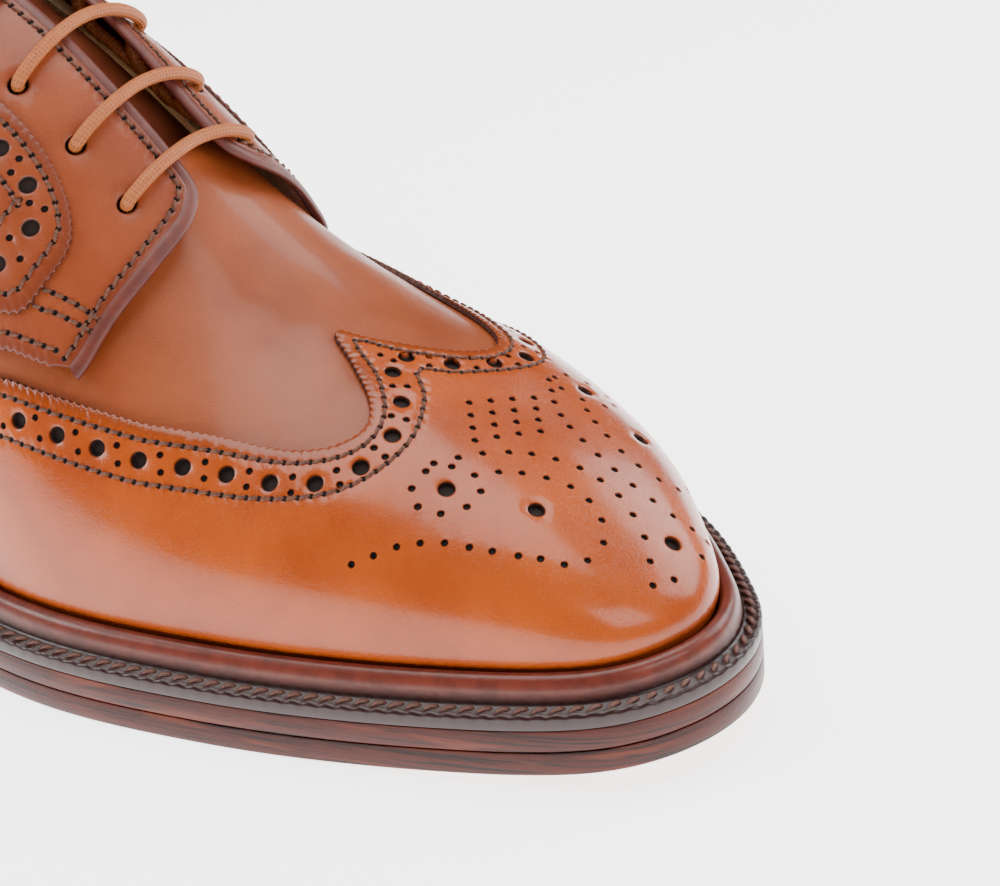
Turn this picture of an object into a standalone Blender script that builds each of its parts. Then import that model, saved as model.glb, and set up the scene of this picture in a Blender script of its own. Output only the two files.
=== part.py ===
"""Longwing brogue, one right shoe with open lacing on a double leather sole.

Sizes are in millimetres and become metres when a mesh is made.
The toe points along +X, +Z is up and the inner side of the foot is on +Y.
"""
import math

import bmesh
import bpy
import numpy as np
from mathutils import Matrix, Vector

MM = 0.001

# Outline of the sole seen from above: distance from the heel, outer edge and inner edge
HEEL_BACK = (-4.0, 0.0)
TOE_TIP = (291.5, -3.0)
OUTLINE_COLUMNS = ("along", "lateral", "medial")
OUTLINE = (
    (8.0, -25.0, 25.0),
    (30.0, -36.0, 35.5),
    (60.0, -38.5, 34.5),
    (90.0, -41.0, 32.0),
    (120.0, -46.0, 32.5),
    (150.0, -52.5, 38.5),
    (176.0, -55.0, 46.5),
    (203.0, -51.5, 51.5),
    (230.0, -45.0, 49.0),
    (255.0, -37.5, 39.0),
    (269.0, -32.5, 29.0),
    (280.0, -26.5, 18.5),
    (287.5, -18.0, 9.5),
)

# Sections of the last: height and sideways place of its ridge, how square a section is, how far it swells
LAST_COLUMNS = ("along", "ridge", "centre", "square", "swell")
LAST = (
    (-10.0, 150.0, 0.0, 2.6, 3.0),
    (35.0, 150.0, 0.0, 2.6, 3.0),
    (60.0, 146.0, 0.0, 2.5, 2.5),
    (90.0, 138.0, 0.0, 2.2, 1.0),
    (120.0, 126.0, 0.0, 2.1, 0.5),
    (140.0, 114.0, 0.5, 2.05, 0.5),
    (155.0, 103.5, 1.0, 2.0, 1.0),
    (173.0, 85.0, 2.0, 2.0, 1.5),
    (184.0, 74.5, 2.0, 2.0, 2.0),
    (195.0, 65.0, 2.0, 2.1, 2.5),
    (208.0, 56.6, 2.0, 2.3, 2.5),
    (226.0, 50.8, 1.5, 2.6, 2.5),
    (244.0, 44.2, 0.5, 3.1, 2.0),
    (258.0, 39.8, -0.5, 3.7, 1.5),
    (275.0, 33.4, -2.0, 4.4, 1.0),
    (292.0, 27.0, -3.0, 4.6, 1.0),
)

# Height of the collar's edge, which rises past the ridge where the throat begins
COLLAR_COLUMNS = ("along", "height")
COLLAR = (
    (-4.0, 101.0),
    (20.0, 96.0),
    (45.0, 88.0),
    (70.0, 84.0),
    (95.0, 88.5),
    (112.0, 102.0),
    (121.0, 116.0),
    (130.0, 140.0),
)

# Top of the wing overlay and foot of the quarters, measured up the upper from its lower edge
BAND_COLUMNS = ("along", "wing", "quarter")
BAND = (
    (-4.0, 26.0, 32.0),
    (60.0, 33.0, 39.0),
    (120.0, 41.0, 47.0),
    (166.0, 45.0, 51.3),
    (187.0, 46.0, 52.0),
    (208.0, 44.0, 52.0),
    (232.0, 44.2, 52.0),
    (243.0, 46.7, 52.0),
    (250.0, 50.0, 52.0),
    (255.0, 54.5, 52.0),
    (263.0, 64.0, 52.0),
    (270.0, 74.0, 52.0),
    (280.0, 86.0, 52.0),
    (291.5, 94.0, 52.0),
)

# Front edge of a quarter: share of the way up from its foot to the throat, and its place
FRONT_COLUMNS = ("share", "along")
FRONT = (
    (0.0, 180.0),
    (0.25, 185.8),
    (0.55, 189.3),
    (0.73, 188.6),
    (0.88, 186.3),
    (1.0, 182.6),
)

# Side profile of the sole
HEEL_HEIGHT = 26.0
BREAST = 74.0
BALL = 166.0
SPRING_START = 212.0
TOE_SPRING = 5.1
SPRING_POWER = 1.8

# Layers above the bottom of the outsole
FIT = 0.3
OUTSOLE_TOP = 4.5
MIDSOLE_FOOT = OUTSOLE_TOP + FIT
MIDSOLE_TOP = 8.7
SEAT = MIDSOLE_TOP + FIT
INSOLE_THICKNESS = 3.0
HEEL_LAYERS = 4
HEEL_TAPER = 1.6
HEEL_MARGIN = 0.4
EDGE_ROUND = 0.5
BREAST_HOLLOW = 3.0

# Upper and overlays
WELT_WIDTH = 7.3
RIDGE_HEIGHT = 7.8
UPPER_INSET = WELT_WIDTH + FIT
WALL = 2.0
WING_FOOT = 8.5
WING_THICKNESS = 1.0
QUARTER_THICKNESS = 1.6
QUARTER_FIT = 1.1
STRIP_HALF_WIDTH = 11.0
STRIP_THICKNESS = 1.2
STRIP_GAP = 1.1
STRIP_TOP_MARGIN = 2.0
THROAT_FRONT = 183.0
THROAT_BACK = 112.0
THROAT_ROUND = 12.0
THROAT_HALF_WIDTH = 10.0
FACING_HALF_GAP = 5.0
FACING_STANDOFF = 3.0
FACING_START = 118.0
FOCUS = 200.0
FAN_START = 235.0
HEEL_CENTRE = 40.0
HEEL_FAN = 50.0
SWELL_FOOT_LIMIT = 0.6
FRONT_PULL_START = 0.72

# Tongue
TONGUE_THICKNESS = 1.8
TONGUE_FIT = 1.2
TONGUE_BACK = 112.0
TONGUE_FRONT = 193.0
TONGUE_HALF_WIDTH = 21.0

# Laces
EYELET_PAIRS = 5
FIRST_EYELET = 176.5
EYELET_STEP = 10.6
EYELET_FROM_CENTRE = 15.0
EYELET_RADIUS = 2.1
LACE_RADIUS = 1.35
LACE_LIFT = 2.3

# Mesh fineness
HALF_SAMPLES = 480
STATIONS = 31
WING_ROWS = 8
ROWS_ABOVE = 5
ROW_CROWDING = 1.4
QUARTER_ROWS = 7
STRIP_ROWS = 10
LACE_POINTS = 12
RIB_SAMPLES = 161
RIB_TABLE = 361
HOLE_SIDES = 12
STATION_CLEARANCE = 0.008
THROAT_STATIONS = (0.0, 0.16, 0.45, 0.8)
CORNER_STATIONS = (2.0, 7.0, 12.0, 17.0)
FAN_GAP = 13.0
HEEL_COLUMNS = 15
BREAST_COLUMNS = 7
TONGUE_COLUMNS = 12
TONGUE_HALF_ROWS = 5
POLE_WELD = 0.6


def column(columns, rows, name):
    """One named column of a table."""
    place = columns.index(name)
    return np.array([row[place] for row in rows], float)


def spline(knots, values, where):
    """Natural cubic curve through values at knots."""
    knots = np.asarray(knots, float)
    values = np.asarray(values, float)
    where = np.asarray(where, float)
    step = np.diff(knots)
    count = len(knots)
    system = np.eye(count)
    right = np.zeros_like(values)
    for i in range(1, count - 1):
        system[i, i - 1:i + 2] = step[i - 1], 2 * (step[i - 1] + step[i]), step[i]
        right[i] = 6 * ((values[i + 1] - values[i]) / step[i] - (values[i] - values[i - 1]) / step[i - 1])
    bend = np.linalg.solve(system, right)
    cell = np.clip(np.searchsorted(knots, where) - 1, 0, count - 2)
    width = step[cell]
    before = where - knots[cell]
    after = knots[cell + 1] - where
    if values.ndim > 1:
        width, before, after = width[..., None], before[..., None], after[..., None]
    curve = bend[cell] * after ** 3 / (6 * width) + bend[cell + 1] * before ** 3 / (6 * width)
    line_low = (values[cell] / width - bend[cell] * width / 6) * after
    line_high = (values[cell + 1] / width - bend[cell + 1] * width / 6) * before
    return curve + line_low + line_high


def outline_halves():
    """Dense outer and inner halves of the outline, heel to toe, with inward normals."""
    along = column(OUTLINE_COLUMNS, OUTLINE, "along")
    lateral = np.column_stack([along, column(OUTLINE_COLUMNS, OUTLINE, "lateral")])
    medial = np.column_stack([along, column(OUTLINE_COLUMNS, OUTLINE, "medial")])[::-1]
    ring = np.vstack([[HEEL_BACK], lateral, [TOE_TIP], medial])
    wrap = 4
    knots = np.vstack([ring[-wrap:], ring, ring[:wrap + 1]])
    chord = np.concatenate([[0], np.cumsum(np.hypot(*np.diff(knots, axis=0).T))])
    heel, toe, again = chord[wrap], chord[wrap + 1 + len(OUTLINE)], chord[wrap + len(ring)]
    halves = {}
    for side, start, end in (("lateral", heel, toe), ("medial", again, toe)):
        place = np.linspace(start, end, HALF_SAMPLES)
        points = spline(chord, knots, place)
        tangent = spline(chord, knots, place + 0.01) - spline(chord, knots, place - 0.01)
        tangent /= np.linalg.norm(tangent, axis=1)[:, None]
        inward = np.column_stack([-tangent[:, 1], tangent[:, 0]])
        length = np.concatenate([[0], np.cumsum(np.hypot(*np.diff(points, axis=0).T))])
        halves[side] = (points, inward, length)
    return halves


HALVES = outline_halves()


def edge(side, share, inset):
    """Point of the outline at a share of the way from heel to toe, moved inward."""
    points, inward, length = HALVES[side]
    moved = points + inset * inward
    return np.stack([np.interp(share, length / length[-1], moved[:, k]) for k in (0, 1)], -1)


def share_at(side, distance):
    """Share of the half outline at a distance from the heel's back."""
    return distance / HALVES[side][2][-1]


def along_of(share):
    """Mean distance along the shoe of the two outline points at a share."""
    return (edge("lateral", share, 0.0)[..., 0] + edge("medial", share, 0.0)[..., 0]) / 2


def share_of(along):
    """Share of the outline at a distance along the shoe."""
    shares = np.linspace(0, 1, HALF_SAMPLES)
    return np.interp(along, along_of(shares), shares)


def sole_height(along):
    """Height of the outsole's bottom: heel seat, arch, flat ball and toe spring."""
    fall = np.clip((BALL - along) / (BALL - BREAST), 0, 1)
    lift = np.clip((along - SPRING_START) / (TOE_TIP[0] - SPRING_START), 0, 2)
    return HEEL_HEIGHT * fall * fall * (3 - 2 * fall) + TOE_SPRING * lift ** SPRING_POWER


def last_value(along, name):
    """A column of the last's sections at a distance along the shoe."""
    knots = column(LAST_COLUMNS, LAST, "along")
    return spline(knots, column(LAST_COLUMNS, LAST, name), np.clip(along, knots[0], knots[-1]))


def ridge_along(along):
    """Where the rib that starts at a station meets the ridge: ribs fan out at toe and heel."""
    reach = FAN_START - FOCUS
    front = np.clip((FAN_START - along) / (2 * reach), 0, 1)
    toe = FOCUS - reach * front ** 2
    back = np.clip((along - HEEL_CENTRE + HEEL_FAN / 2) / HEEL_FAN, 0, 1)
    heel = HEEL_CENTRE + HEEL_FAN / 2 * back ** 2
    middle = np.where(along < HEEL_CENTRE + HEEL_FAN / 2, heel, along)
    return np.where(along > FAN_START - 2 * reach, toe, middle)


def ribs(side, share):
    """Dense ribs of the last from its lower edge to its ridge, one for each share."""
    station = along_of(share)
    foot = edge(side, share, UPPER_INSET)
    top = ridge_along(station)
    top = np.stack([top, last_value(top, "centre")], -1)
    square = last_value(station, "square")[:, None]
    swell = last_value(station, "swell")[:, None]
    turn = np.linspace(0, math.pi / 2, RIB_SAMPLES)[None, :]
    out = np.clip(np.cos(turn), 1e-9, 1) ** (2 / square)
    out[:, -1] = 0
    rise = np.sin(turn) ** (2 / square)
    reach = foot - top
    away = reach / np.linalg.norm(reach, axis=1, keepdims=True)
    low = (sole_height(foot[:, 0]) + SEAT)[:, None]
    hidden = np.minimum(RIDGE_HEIGHT / (last_value(station, "ridge")[:, None] - low), SWELL_FOOT_LIMIT)
    push = swell * np.sin(math.pi * np.clip((rise - hidden) / (1 - hidden), 0, 1)) * np.sqrt(out)
    flat = top[:, None] + reach[:, None] * out[..., None] + away[:, None] * push[..., None]
    height = low + (last_value(flat[..., 0], "ridge") - low) * rise
    return np.concatenate([flat, height[..., None]], -1)


def rib_table(side):
    """Ribs resampled evenly along their girth, their normals and their girths."""
    share = np.linspace(0, 1, RIB_TABLE)
    dense = ribs(side, share)
    steps = np.linalg.norm(np.diff(dense, axis=1), axis=2)
    girth = np.concatenate([np.zeros((len(share), 1)), np.cumsum(steps, axis=1)], 1)
    points = np.zeros_like(dense)
    for i in range(len(share)):
        even = np.linspace(0, girth[i, -1], RIB_SAMPLES)
        for k in range(3):
            points[i, :, k] = np.interp(even, girth[i], dense[i, :, k])
    normal = np.cross(np.gradient(points, axis=0), np.gradient(points, axis=1))
    if side == "medial":
        normal = -normal
    length = np.linalg.norm(normal, axis=2, keepdims=True)
    normal = normal / np.maximum(length, 1e-12)
    return points, normal, girth[:, -1]


TABLES = {side: rib_table(side) for side in ("lateral", "medial")}


def blend_table(table, row, col):
    """Bilinear reading of a table at fractional rows and columns."""
    r0 = np.clip(np.floor(row).astype(int), 0, table.shape[0] - 2)
    c0 = np.clip(np.floor(col).astype(int), 0, table.shape[1] - 2)
    fr = (row - r0)[..., None]
    fc = (col - c0)[..., None]
    low = table[r0, c0] * (1 - fc) + table[r0, c0 + 1] * fc
    high = table[r0 + 1, c0] * (1 - fc) + table[r0 + 1, c0 + 1] * fc
    return low * (1 - fr) + high * fr


def full_girth(side, share):
    """Girth of a rib from the upper's lower edge to the ridge."""
    return np.interp(share, np.linspace(0, 1, RIB_TABLE), TABLES[side][2])


def on_last(side, share, girth, lift=0.0):
    """Point of the last at a share of the outline and a girth up the rib, lifted off it."""
    share, girth = np.broadcast_arrays(np.asarray(share, float), np.asarray(girth, float))
    points, normal, _ = TABLES[side]
    row = share * (RIB_TABLE - 1)
    col = np.clip(girth / full_girth(side, share), 0, 1) * (RIB_SAMPLES - 1)
    facing = blend_table(normal, row, col)
    facing /= np.maximum(np.linalg.norm(facing, axis=-1, keepdims=True), 1e-9)
    return blend_table(points, row, col) + facing * np.asarray(lift)[..., None]


def band_girth(share, name):
    """Girth of the wing's top or of the quarter's foot."""
    knots = column(BAND_COLUMNS, BAND, "along")
    values = column(BAND_COLUMNS, BAND, name)
    return np.interp(along_of(share), knots, values)


def top_girth(side, share, half_gap):
    """Girth where a rib reaches the collar, the edge of the throat or the ridge."""
    share = np.atleast_1d(np.asarray(share, float))
    knots = column(COLLAR_COLUMNS, COLLAR, "along")
    station = along_of(share)
    collar = spline(knots, column(COLLAR_COLUMNS, COLLAR, "height"), np.minimum(station, knots[-1]))
    open_share = np.clip((THROAT_FRONT - station) / THROAT_ROUND, 0, 1)
    gap = half_gap * np.sqrt(open_share)
    points, _, girths = TABLES[side]
    result = np.zeros(len(share))
    for i, s in enumerate(share):
        row = np.full(RIB_SAMPLES, s * (RIB_TABLE - 1))
        rib = blend_table(points, row, np.arange(RIB_SAMPLES, dtype=float))
        girth = np.linspace(0, full_girth(side, s), RIB_SAMPLES)
        aside = np.abs(rib[:, 1] - last_value(rib[:, 0], "centre"))
        at_collar = np.interp(collar[i], rib[:, 2], girth)
        in_throat = gap[i] > 0 and station[i] > THROAT_BACK
        at_throat = np.interp(-gap[i], -aside, girth) if in_throat else girth[-1]
        result[i] = min(at_collar, at_throat)
    return result


RING = np.vstack([HALVES["lateral"][0], HALVES["medial"][0]])
SHIFT = -(RING.min(axis=0) + RING.max(axis=0)) / 2


def world(point):
    """Shoe coordinates in millimetres to world coordinates in metres."""
    return ((point[0] + SHIFT[0]) * MM, (point[1] + SHIFT[1]) * MM, point[2] * MM)


def material(name, colour, roughness):
    """A plain Principled material."""
    made = bpy.data.materials.get(name)
    if made is None:
        made = bpy.data.materials.new(name)
        made.use_nodes = True
        shader = made.node_tree.nodes["Principled BSDF"]
        shader.inputs["Base Color"].default_value = (*colour, 1.0)
        shader.inputs["Roughness"].default_value = roughness
        shader.inputs["Metallic"].default_value = 0.0
    return made


def add_object(name, points, faces, finish, home, weld=0.02):
    """A mesh object from points in millimetres, with points closer than the weld distance joined."""
    mesh = bpy.data.meshes.new(name)
    mesh.from_pydata([world(p) for p in points], [], faces)
    shape = bmesh.new()
    shape.from_mesh(mesh)
    bmesh.ops.remove_doubles(shape, verts=shape.verts, dist=weld * MM)
    bmesh.ops.dissolve_degenerate(shape, edges=shape.edges, dist=0.00001)
    shape.to_mesh(mesh)
    shape.free()
    mesh.materials.append(finish)
    mesh.shade_smooth()
    made = bpy.data.objects.new(name, mesh)
    home.objects.link(made)
    return made


def grid_faces(columns, rows, closed):
    """Quads of a grid stored column by column."""
    faces = []
    for i in range(columns if closed else columns - 1):
        for j in range(rows - 1):
            a = i * rows + j
            b = (i + 1) % columns * rows + j
            faces.append((a, b, b + 1, a + 1))
    return faces


def thicken(made, thickness):
    """Turn an open surface into a wall that grows against its normals, each quad cut the short way."""
    shape = bmesh.new()
    shape.from_mesh(made.data)
    bmesh.ops.triangulate(shape, faces=shape.faces, quad_method="SHORT_EDGE")
    shape.to_mesh(made.data)
    shape.free()
    wall = made.modifiers.new("Wall", "SOLIDIFY")
    wall.thickness = thickness * MM
    wall.offset = -1.0
    wall.use_even_offset = False
    wall.use_rim = True
    return made


def ring_points(stations, inset):
    """Closed ring of the outline: outer side to the toe, inner side back to the heel."""
    lateral = edge("lateral", stations, inset)
    medial = edge("medial", stations, inset)[::-1]
    return np.vstack([lateral, medial[1:-1]])


def ring_caps(count, first, flip):
    """Strips that close a ring by joining its outer and inner points."""
    total = 2 * count - 2
    faces = []
    for i in range(count - 1):
        a, b = i, i + 1
        c, d = (total - b) % total, (total - a) % total
        face = [first + v for v in dict.fromkeys((a, b, c, d))]
        faces.append(tuple(face[::-1] if flip else face))
    return faces


def slab(name, rows, bottom, finish, home):
    """A plate with the shoe's outline: rows hold an inset and a height over a bottom."""
    count = len(SHARES)
    total = 2 * count - 2
    points = []
    for inset, height in rows:
        ring = ring_points(SHARES, inset)
        base = bottom(ring[:, 0])
        points.extend((x, y, z + height) for (x, y), z in zip(ring, base))
    faces = []
    for k in range(len(rows) - 1):
        for i in range(total):
            a, b = k * total + i, k * total + (i + 1) % total
            faces.append((a, b, b + total, a + total))
    faces += ring_caps(count, 0, True)
    faces += ring_caps(count, (len(rows) - 1) * total, False)
    return add_object(name, points, faces, finish, home)


def station_shares():
    """Shares from heel to toe, closer together round both ends and at the throat."""
    t = np.linspace(0, 1, STATIONS)
    shares = t - 0.5 * np.sin(2 * math.pi * t) / (2 * math.pi)
    throat = THROAT_FRONT - THROAT_ROUND * np.array(THROAT_STATIONS)
    corner = THROAT_BACK + np.array(CORNER_STATIONS)
    fan = FAN_START + np.array([-FAN_GAP, 0.0])
    extra = share_of(np.concatenate([throat, corner, fan]))
    station = along_of(shares)
    clear = np.abs(shares[:, None] - extra[None, :]).min(axis=1) > STATION_CLEARANCE
    clear &= (station < fan[0]) | (station > fan[1])
    return np.sort(np.concatenate([shares[clear], extra]))


SHARES = station_shares()


def make_sole(home):
    """Outsole and midsole, two plates of leather with softly rounded edges."""
    leather = material("sole_leather", (0.16, 0.045, 0.02), 0.4)
    outsole = ((EDGE_ROUND, 0), (0, EDGE_ROUND), (0, OUTSOLE_TOP - EDGE_ROUND), (EDGE_ROUND, OUTSOLE_TOP))
    slab("outsole", outsole, sole_height, leather, home)
    midsole = ((EDGE_ROUND, MIDSOLE_FOOT), (0, MIDSOLE_FOOT + EDGE_ROUND),
               (0, MIDSOLE_TOP - EDGE_ROUND), (EDGE_ROUND, MIDSOLE_TOP))
    slab("midsole", midsole, sole_height, leather, home)


def make_insole(home):
    """Flat insole inside the upper's wall."""
    inset = UPPER_INSET + WALL + FIT
    foot = SEAT + FIT
    rows = ((inset, foot), (inset, foot + INSOLE_THICKNESS))
    tan = material("insole_leather", (0.45, 0.24, 0.1), 0.6)
    slab("insole", rows, sole_height, tan, home)


# Section of the storm welt: inset from its edge and height over the midsole
WELT_COLUMNS = ("inset", "height")
WELT = (
    (0.0, 0.0),
    (0.0, 2.3),
    (0.5, 2.8),
    (3.0, 2.8),
    (3.7, 5.8),
    (4.7, 7.5),
    (6.0, RIDGE_HEIGHT),
    (WELT_WIDTH, 6.2),
    (WELT_WIDTH, 0.0),
)


def make_welt(home):
    """Storm welt: a flat rim for the stitches and a rounded ridge against the upper."""
    rings = []
    for inset, height in WELT:
        ring = ring_points(SHARES, inset)
        rings.append(np.column_stack([ring, sole_height(ring[:, 0]) + SEAT + height]))
    rings = np.stack(rings)
    depth, total = rings.shape[:2]
    faces = []
    for k in range(depth):
        for i in range(total):
            a, b = k * total + i, k * total + (i + 1) % total
            c, d = (k + 1) % depth * total + (i + 1) % total, (k + 1) % depth * total + i
            faces.append((a, b, c, d))
    dark = material("welt_leather", (0.1, 0.03, 0.018), 0.35)
    add_object("welt", rings.reshape(-1, 3), faces, dark, home)


def heel_ring(inset):
    """Ring of the heel: round at the back, a slightly hollow breast in front."""
    last_share = share_of(BREAST)
    shares = np.linspace(0, last_share, HEEL_COLUMNS)
    lateral = edge("lateral", shares, inset)
    medial = edge("medial", shares, inset)
    across = np.linspace(0, 1, BREAST_COLUMNS)[1:-1]
    breast = lateral[-1] + (medial[-1] - lateral[-1]) * across[:, None]
    breast[:, 0] -= BREAST_HOLLOW * np.sin(math.pi * across)
    return np.vstack([lateral, breast, medial[1:][::-1]])


def make_heel(home):
    """Stacked heel: a rubber top piece under three leather lifts, narrower towards the floor."""
    step = HEEL_HEIGHT / HEEL_LAYERS
    names = ("heel_top_piece", "heel_lift_1", "heel_lift_2", "heel_lift_3")
    for k, name in enumerate(names):
        low, high = k * step, (k + 1) * step - FIT
        rubber = k == 0
        finish = material("heel_rubber", (0.02, 0.018, 0.017), 0.7) if rubber else material(
            "heel_leather", (0.14, 0.04, 0.018), 0.4)
        points = []
        for height in (low, high):
            inset = HEEL_MARGIN + HEEL_TAPER * (1 - height / HEEL_HEIGHT)
            points.extend((x, y, height) for x, y in heel_ring(inset))
        total = len(points) // 2
        faces = [(i, (i + 1) % total, total + (i + 1) % total, total + i) for i in range(total)]
        faces += [tuple(range(total))[::-1], tuple(range(total, 2 * total))]
        add_object(name, points, faces, finish, home)


def wing_levels(share):
    """Girths of the wing's rows at one share, closer together near the welt."""
    climb = np.linspace(0, 1, WING_ROWS) ** ROW_CROWDING
    return WING_FOOT + (band_girth(share, "wing") - WING_FOOT) * climb


def upper_levels(side, share):
    """Girths of the upper's rows: its foot, the wing's rows and the rows above them."""
    wing = wing_levels(share)
    above = np.linspace(wing[-1], top_girth(side, share, THROAT_HALF_WIDTH)[0], ROWS_ABOVE + 1)[1:]
    return np.concatenate([[0.0], wing, above])


def both_sides(shares, levels, lift):
    """Columns of points for the outer side to the toe and the inner side back."""
    columns = []
    for side, order in (("lateral", shares), ("medial", shares[-2::-1])):
        for share in order:
            columns.append(on_last(side, share, levels(side, share), lift))
    return columns


def make_upper(home):
    """Lasted upper: one hollow wall, open at the collar, the throat and underneath."""
    columns = both_sides(SHARES, upper_levels, 0.0)
    faces = grid_faces(len(columns), len(columns[0]), True)
    leather = material("vamp_leather", (0.42, 0.13, 0.05), 0.3)
    upper = add_object("upper", np.vstack(columns), faces, leather, home, POLE_WELD)
    thicken(upper, WALL)


def make_longwing(home):
    """Wing overlay: peaked over the toe and running back along both sides."""
    start = share_at("lateral", STRIP_HALF_WIDTH + STRIP_GAP)
    shares = np.concatenate([[start], SHARES[SHARES > start + STATION_CLEARANCE / 2]])
    columns = both_sides(shares, lambda side, share: wing_levels(share), FIT + WING_THICKNESS)
    faces = grid_faces(len(columns), WING_ROWS, False)
    leather = material("wing_leather", (0.5, 0.17, 0.04), 0.25)
    thicken(add_object("longwing", np.vstack(columns), faces, leather, home), WING_THICKNESS)


def make_heel_strip(home):
    """Back strip over the seam where the quarters and the wings meet."""
    edge_share = share_at("lateral", STRIP_HALF_WIDTH)
    shares = np.array([edge_share, edge_share / 2, 0.0])
    columns = []
    for side, order in (("medial", shares[:-1]), ("lateral", shares[::-1])):
        for share in order:
            top = top_girth(side, share, THROAT_HALF_WIDTH)[0] - STRIP_TOP_MARGIN
            girth = np.linspace(WING_FOOT, top, STRIP_ROWS)
            columns.append(on_last(side, share, girth, FIT + STRIP_THICKNESS))
    faces = grid_faces(len(columns), STRIP_ROWS, False)
    leather = material("quarter_leather", (0.4, 0.12, 0.05), 0.3)
    thicken(add_object("heel_strip", np.vstack(columns), faces, leather, home), STRIP_THICKNESS)


def smooth(value):
    """Soft step from 0 to 1."""
    value = np.clip(value, 0, 1)
    return value * value * (3 - 2 * value)


def quarter_point(side, forward, up):
    """Share and girth of a quarter at its own two coordinates, both from 0 to 1."""
    start = STRIP_HALF_WIDTH + STRIP_GAP
    back = along_of(share_at(side, start))
    foot_front = column(FRONT_COLUMNS, FRONT, "along")[0]
    level = back + (foot_front - back) * forward
    front = spline(column(FRONT_COLUMNS, FRONT, "share"), column(FRONT_COLUMNS, FRONT, "along"), up)
    pull = smooth((forward - FRONT_PULL_START) / (1 - FRONT_PULL_START))
    share = share_of(level + (front - foot_front) * pull)
    bottom = band_girth(share, "quarter")
    return share, bottom


def quarter_lift(side, share, up):
    """How far the quarter's inner face stands off the upper: more at the facing."""
    facing = smooth((along_of(share) - FACING_START) / (THROAT_FRONT - FACING_START))
    return QUARTER_FIT + FACING_STANDOFF * facing * smooth(up)


def make_quarter(side, home):
    """One quarter: from the back strip to the facing that carries the eyelets."""
    back = along_of(share_at(side, STRIP_HALF_WIDTH + STRIP_GAP))
    stations = along_of(SHARES)
    foot_front = column(FRONT_COLUMNS, FRONT, "along")[0]
    inside = stations[(stations > back + 1.0) & (stations < foot_front - 2.0)]
    forward = (np.concatenate([[back], inside, [foot_front]]) - back) / (foot_front - back)
    up = np.linspace(0, 1, QUARTER_ROWS)
    columns = []
    for f in forward:
        share, bottom = quarter_point(side, np.full(QUARTER_ROWS, f), up)
        top = facing_girth(side, share)
        girth = bottom + (top - bottom) * up
        lift = quarter_lift(side, share, up) + QUARTER_THICKNESS
        columns.append(on_last(side, share, girth, lift))
    if side == "medial":
        columns.reverse()
    faces = grid_faces(len(columns), QUARTER_ROWS, False)
    leather = material("quarter_leather", (0.4, 0.12, 0.05), 0.3)
    quarter = add_object("quarter_" + side, np.vstack(columns), faces, leather, home)
    return thicken(quarter, QUARTER_THICKNESS)


def facing_girth(side, share):
    """Top edge of a quarter: the collar, then the facing's edge beside the gap."""
    share = np.asarray(share, float)
    station = along_of(share)
    limit = np.minimum(station, THROAT_FRONT - THROAT_ROUND)
    girth = top_girth(side, share_of(limit), FACING_HALF_GAP)
    gap_left = full_girth(side, share_of(limit)) - girth
    return np.where(station > limit, full_girth(side, share) - gap_left, girth)


def quarter_face(side, share, aside):
    """How high the quarter's outer face lies over the last at a distance from the ridge."""
    foot = band_girth(share, "quarter")
    girth = full_girth(side, share) - aside
    up = (girth - foot) / (facing_girth(side, np.array([share]))[0] - foot)
    return quarter_lift(side, share, up) + QUARTER_THICKNESS


def eyelet_frame(side, number):
    """Centre of an eyelet on the quarter's outer face, and the face's normal there."""
    share = share_of(FIRST_EYELET - EYELET_STEP * number)
    girth = full_girth(side, share) - EYELET_FROM_CENTRE
    face = quarter_face(side, share, EYELET_FROM_CENTRE)
    low = on_last(side, share, girth, face - QUARTER_THICKNESS)
    high = on_last(side, share, girth, face)
    return high, (high - low) / np.linalg.norm(high - low)


def cut_eyelets(quarter, side, cutters):
    """Row of eyelet holes through a facing."""
    for number in range(EYELET_PAIRS):
        centre, normal = eyelet_frame(side, number)
        shape = bmesh.new()
        turn = Vector(normal).to_track_quat("Z", "Y").to_matrix().to_4x4()
        place = Matrix.Translation(Vector(world(centre))) @ turn
        bmesh.ops.create_cone(shape, cap_ends=True, segments=HOLE_SIDES, radius1=EYELET_RADIUS * MM,
                              radius2=EYELET_RADIUS * MM, depth=3.4 * QUARTER_THICKNESS * MM, matrix=place)
        mesh = bpy.data.meshes.new("eyelet_cutter")
        shape.to_mesh(mesh)
        shape.free()
        cutter = bpy.data.objects.new(f"eyelet_cutter_{side}_{number + 1}", mesh)
        cutter.hide_render = True
        cutter.display_type = "WIRE"
        cutters.objects.link(cutter)
        hole = quarter.modifiers.new(f"Eyelet {number + 1}", "BOOLEAN")
        hole.operation = "DIFFERENCE"
        hole.object = cutter
        hole.solver = "EXACT"


def make_tongue(home):
    """Tongue under the throat, sewn to the vamp in front and free at the top."""
    stations = np.linspace(TONGUE_BACK, TONGUE_FRONT, TONGUE_COLUMNS)
    dense = np.linspace(0, 1, HALF_SAMPLES)
    shares = np.interp(stations, ridge_along(along_of(dense)), dense)
    across = np.linspace(0, TONGUE_HALF_WIDTH, TONGUE_HALF_ROWS)
    lift = -(WALL + TONGUE_FIT)
    columns = []
    for s in shares:
        lateral = [on_last("lateral", s, full_girth("lateral", s) - a, lift) for a in across[::-1]]
        medial = [on_last("medial", s, full_girth("medial", s) - a, lift) for a in across[1:]]
        columns.append(np.array(lateral + medial))
    faces = grid_faces(len(columns), 2 * TONGUE_HALF_ROWS - 1, False)
    leather = material("tongue_leather", (0.2, 0.07, 0.03), 0.5)
    thicken(add_object("tongue", np.vstack(columns), faces, leather, home), TONGUE_THICKNESS)


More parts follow.
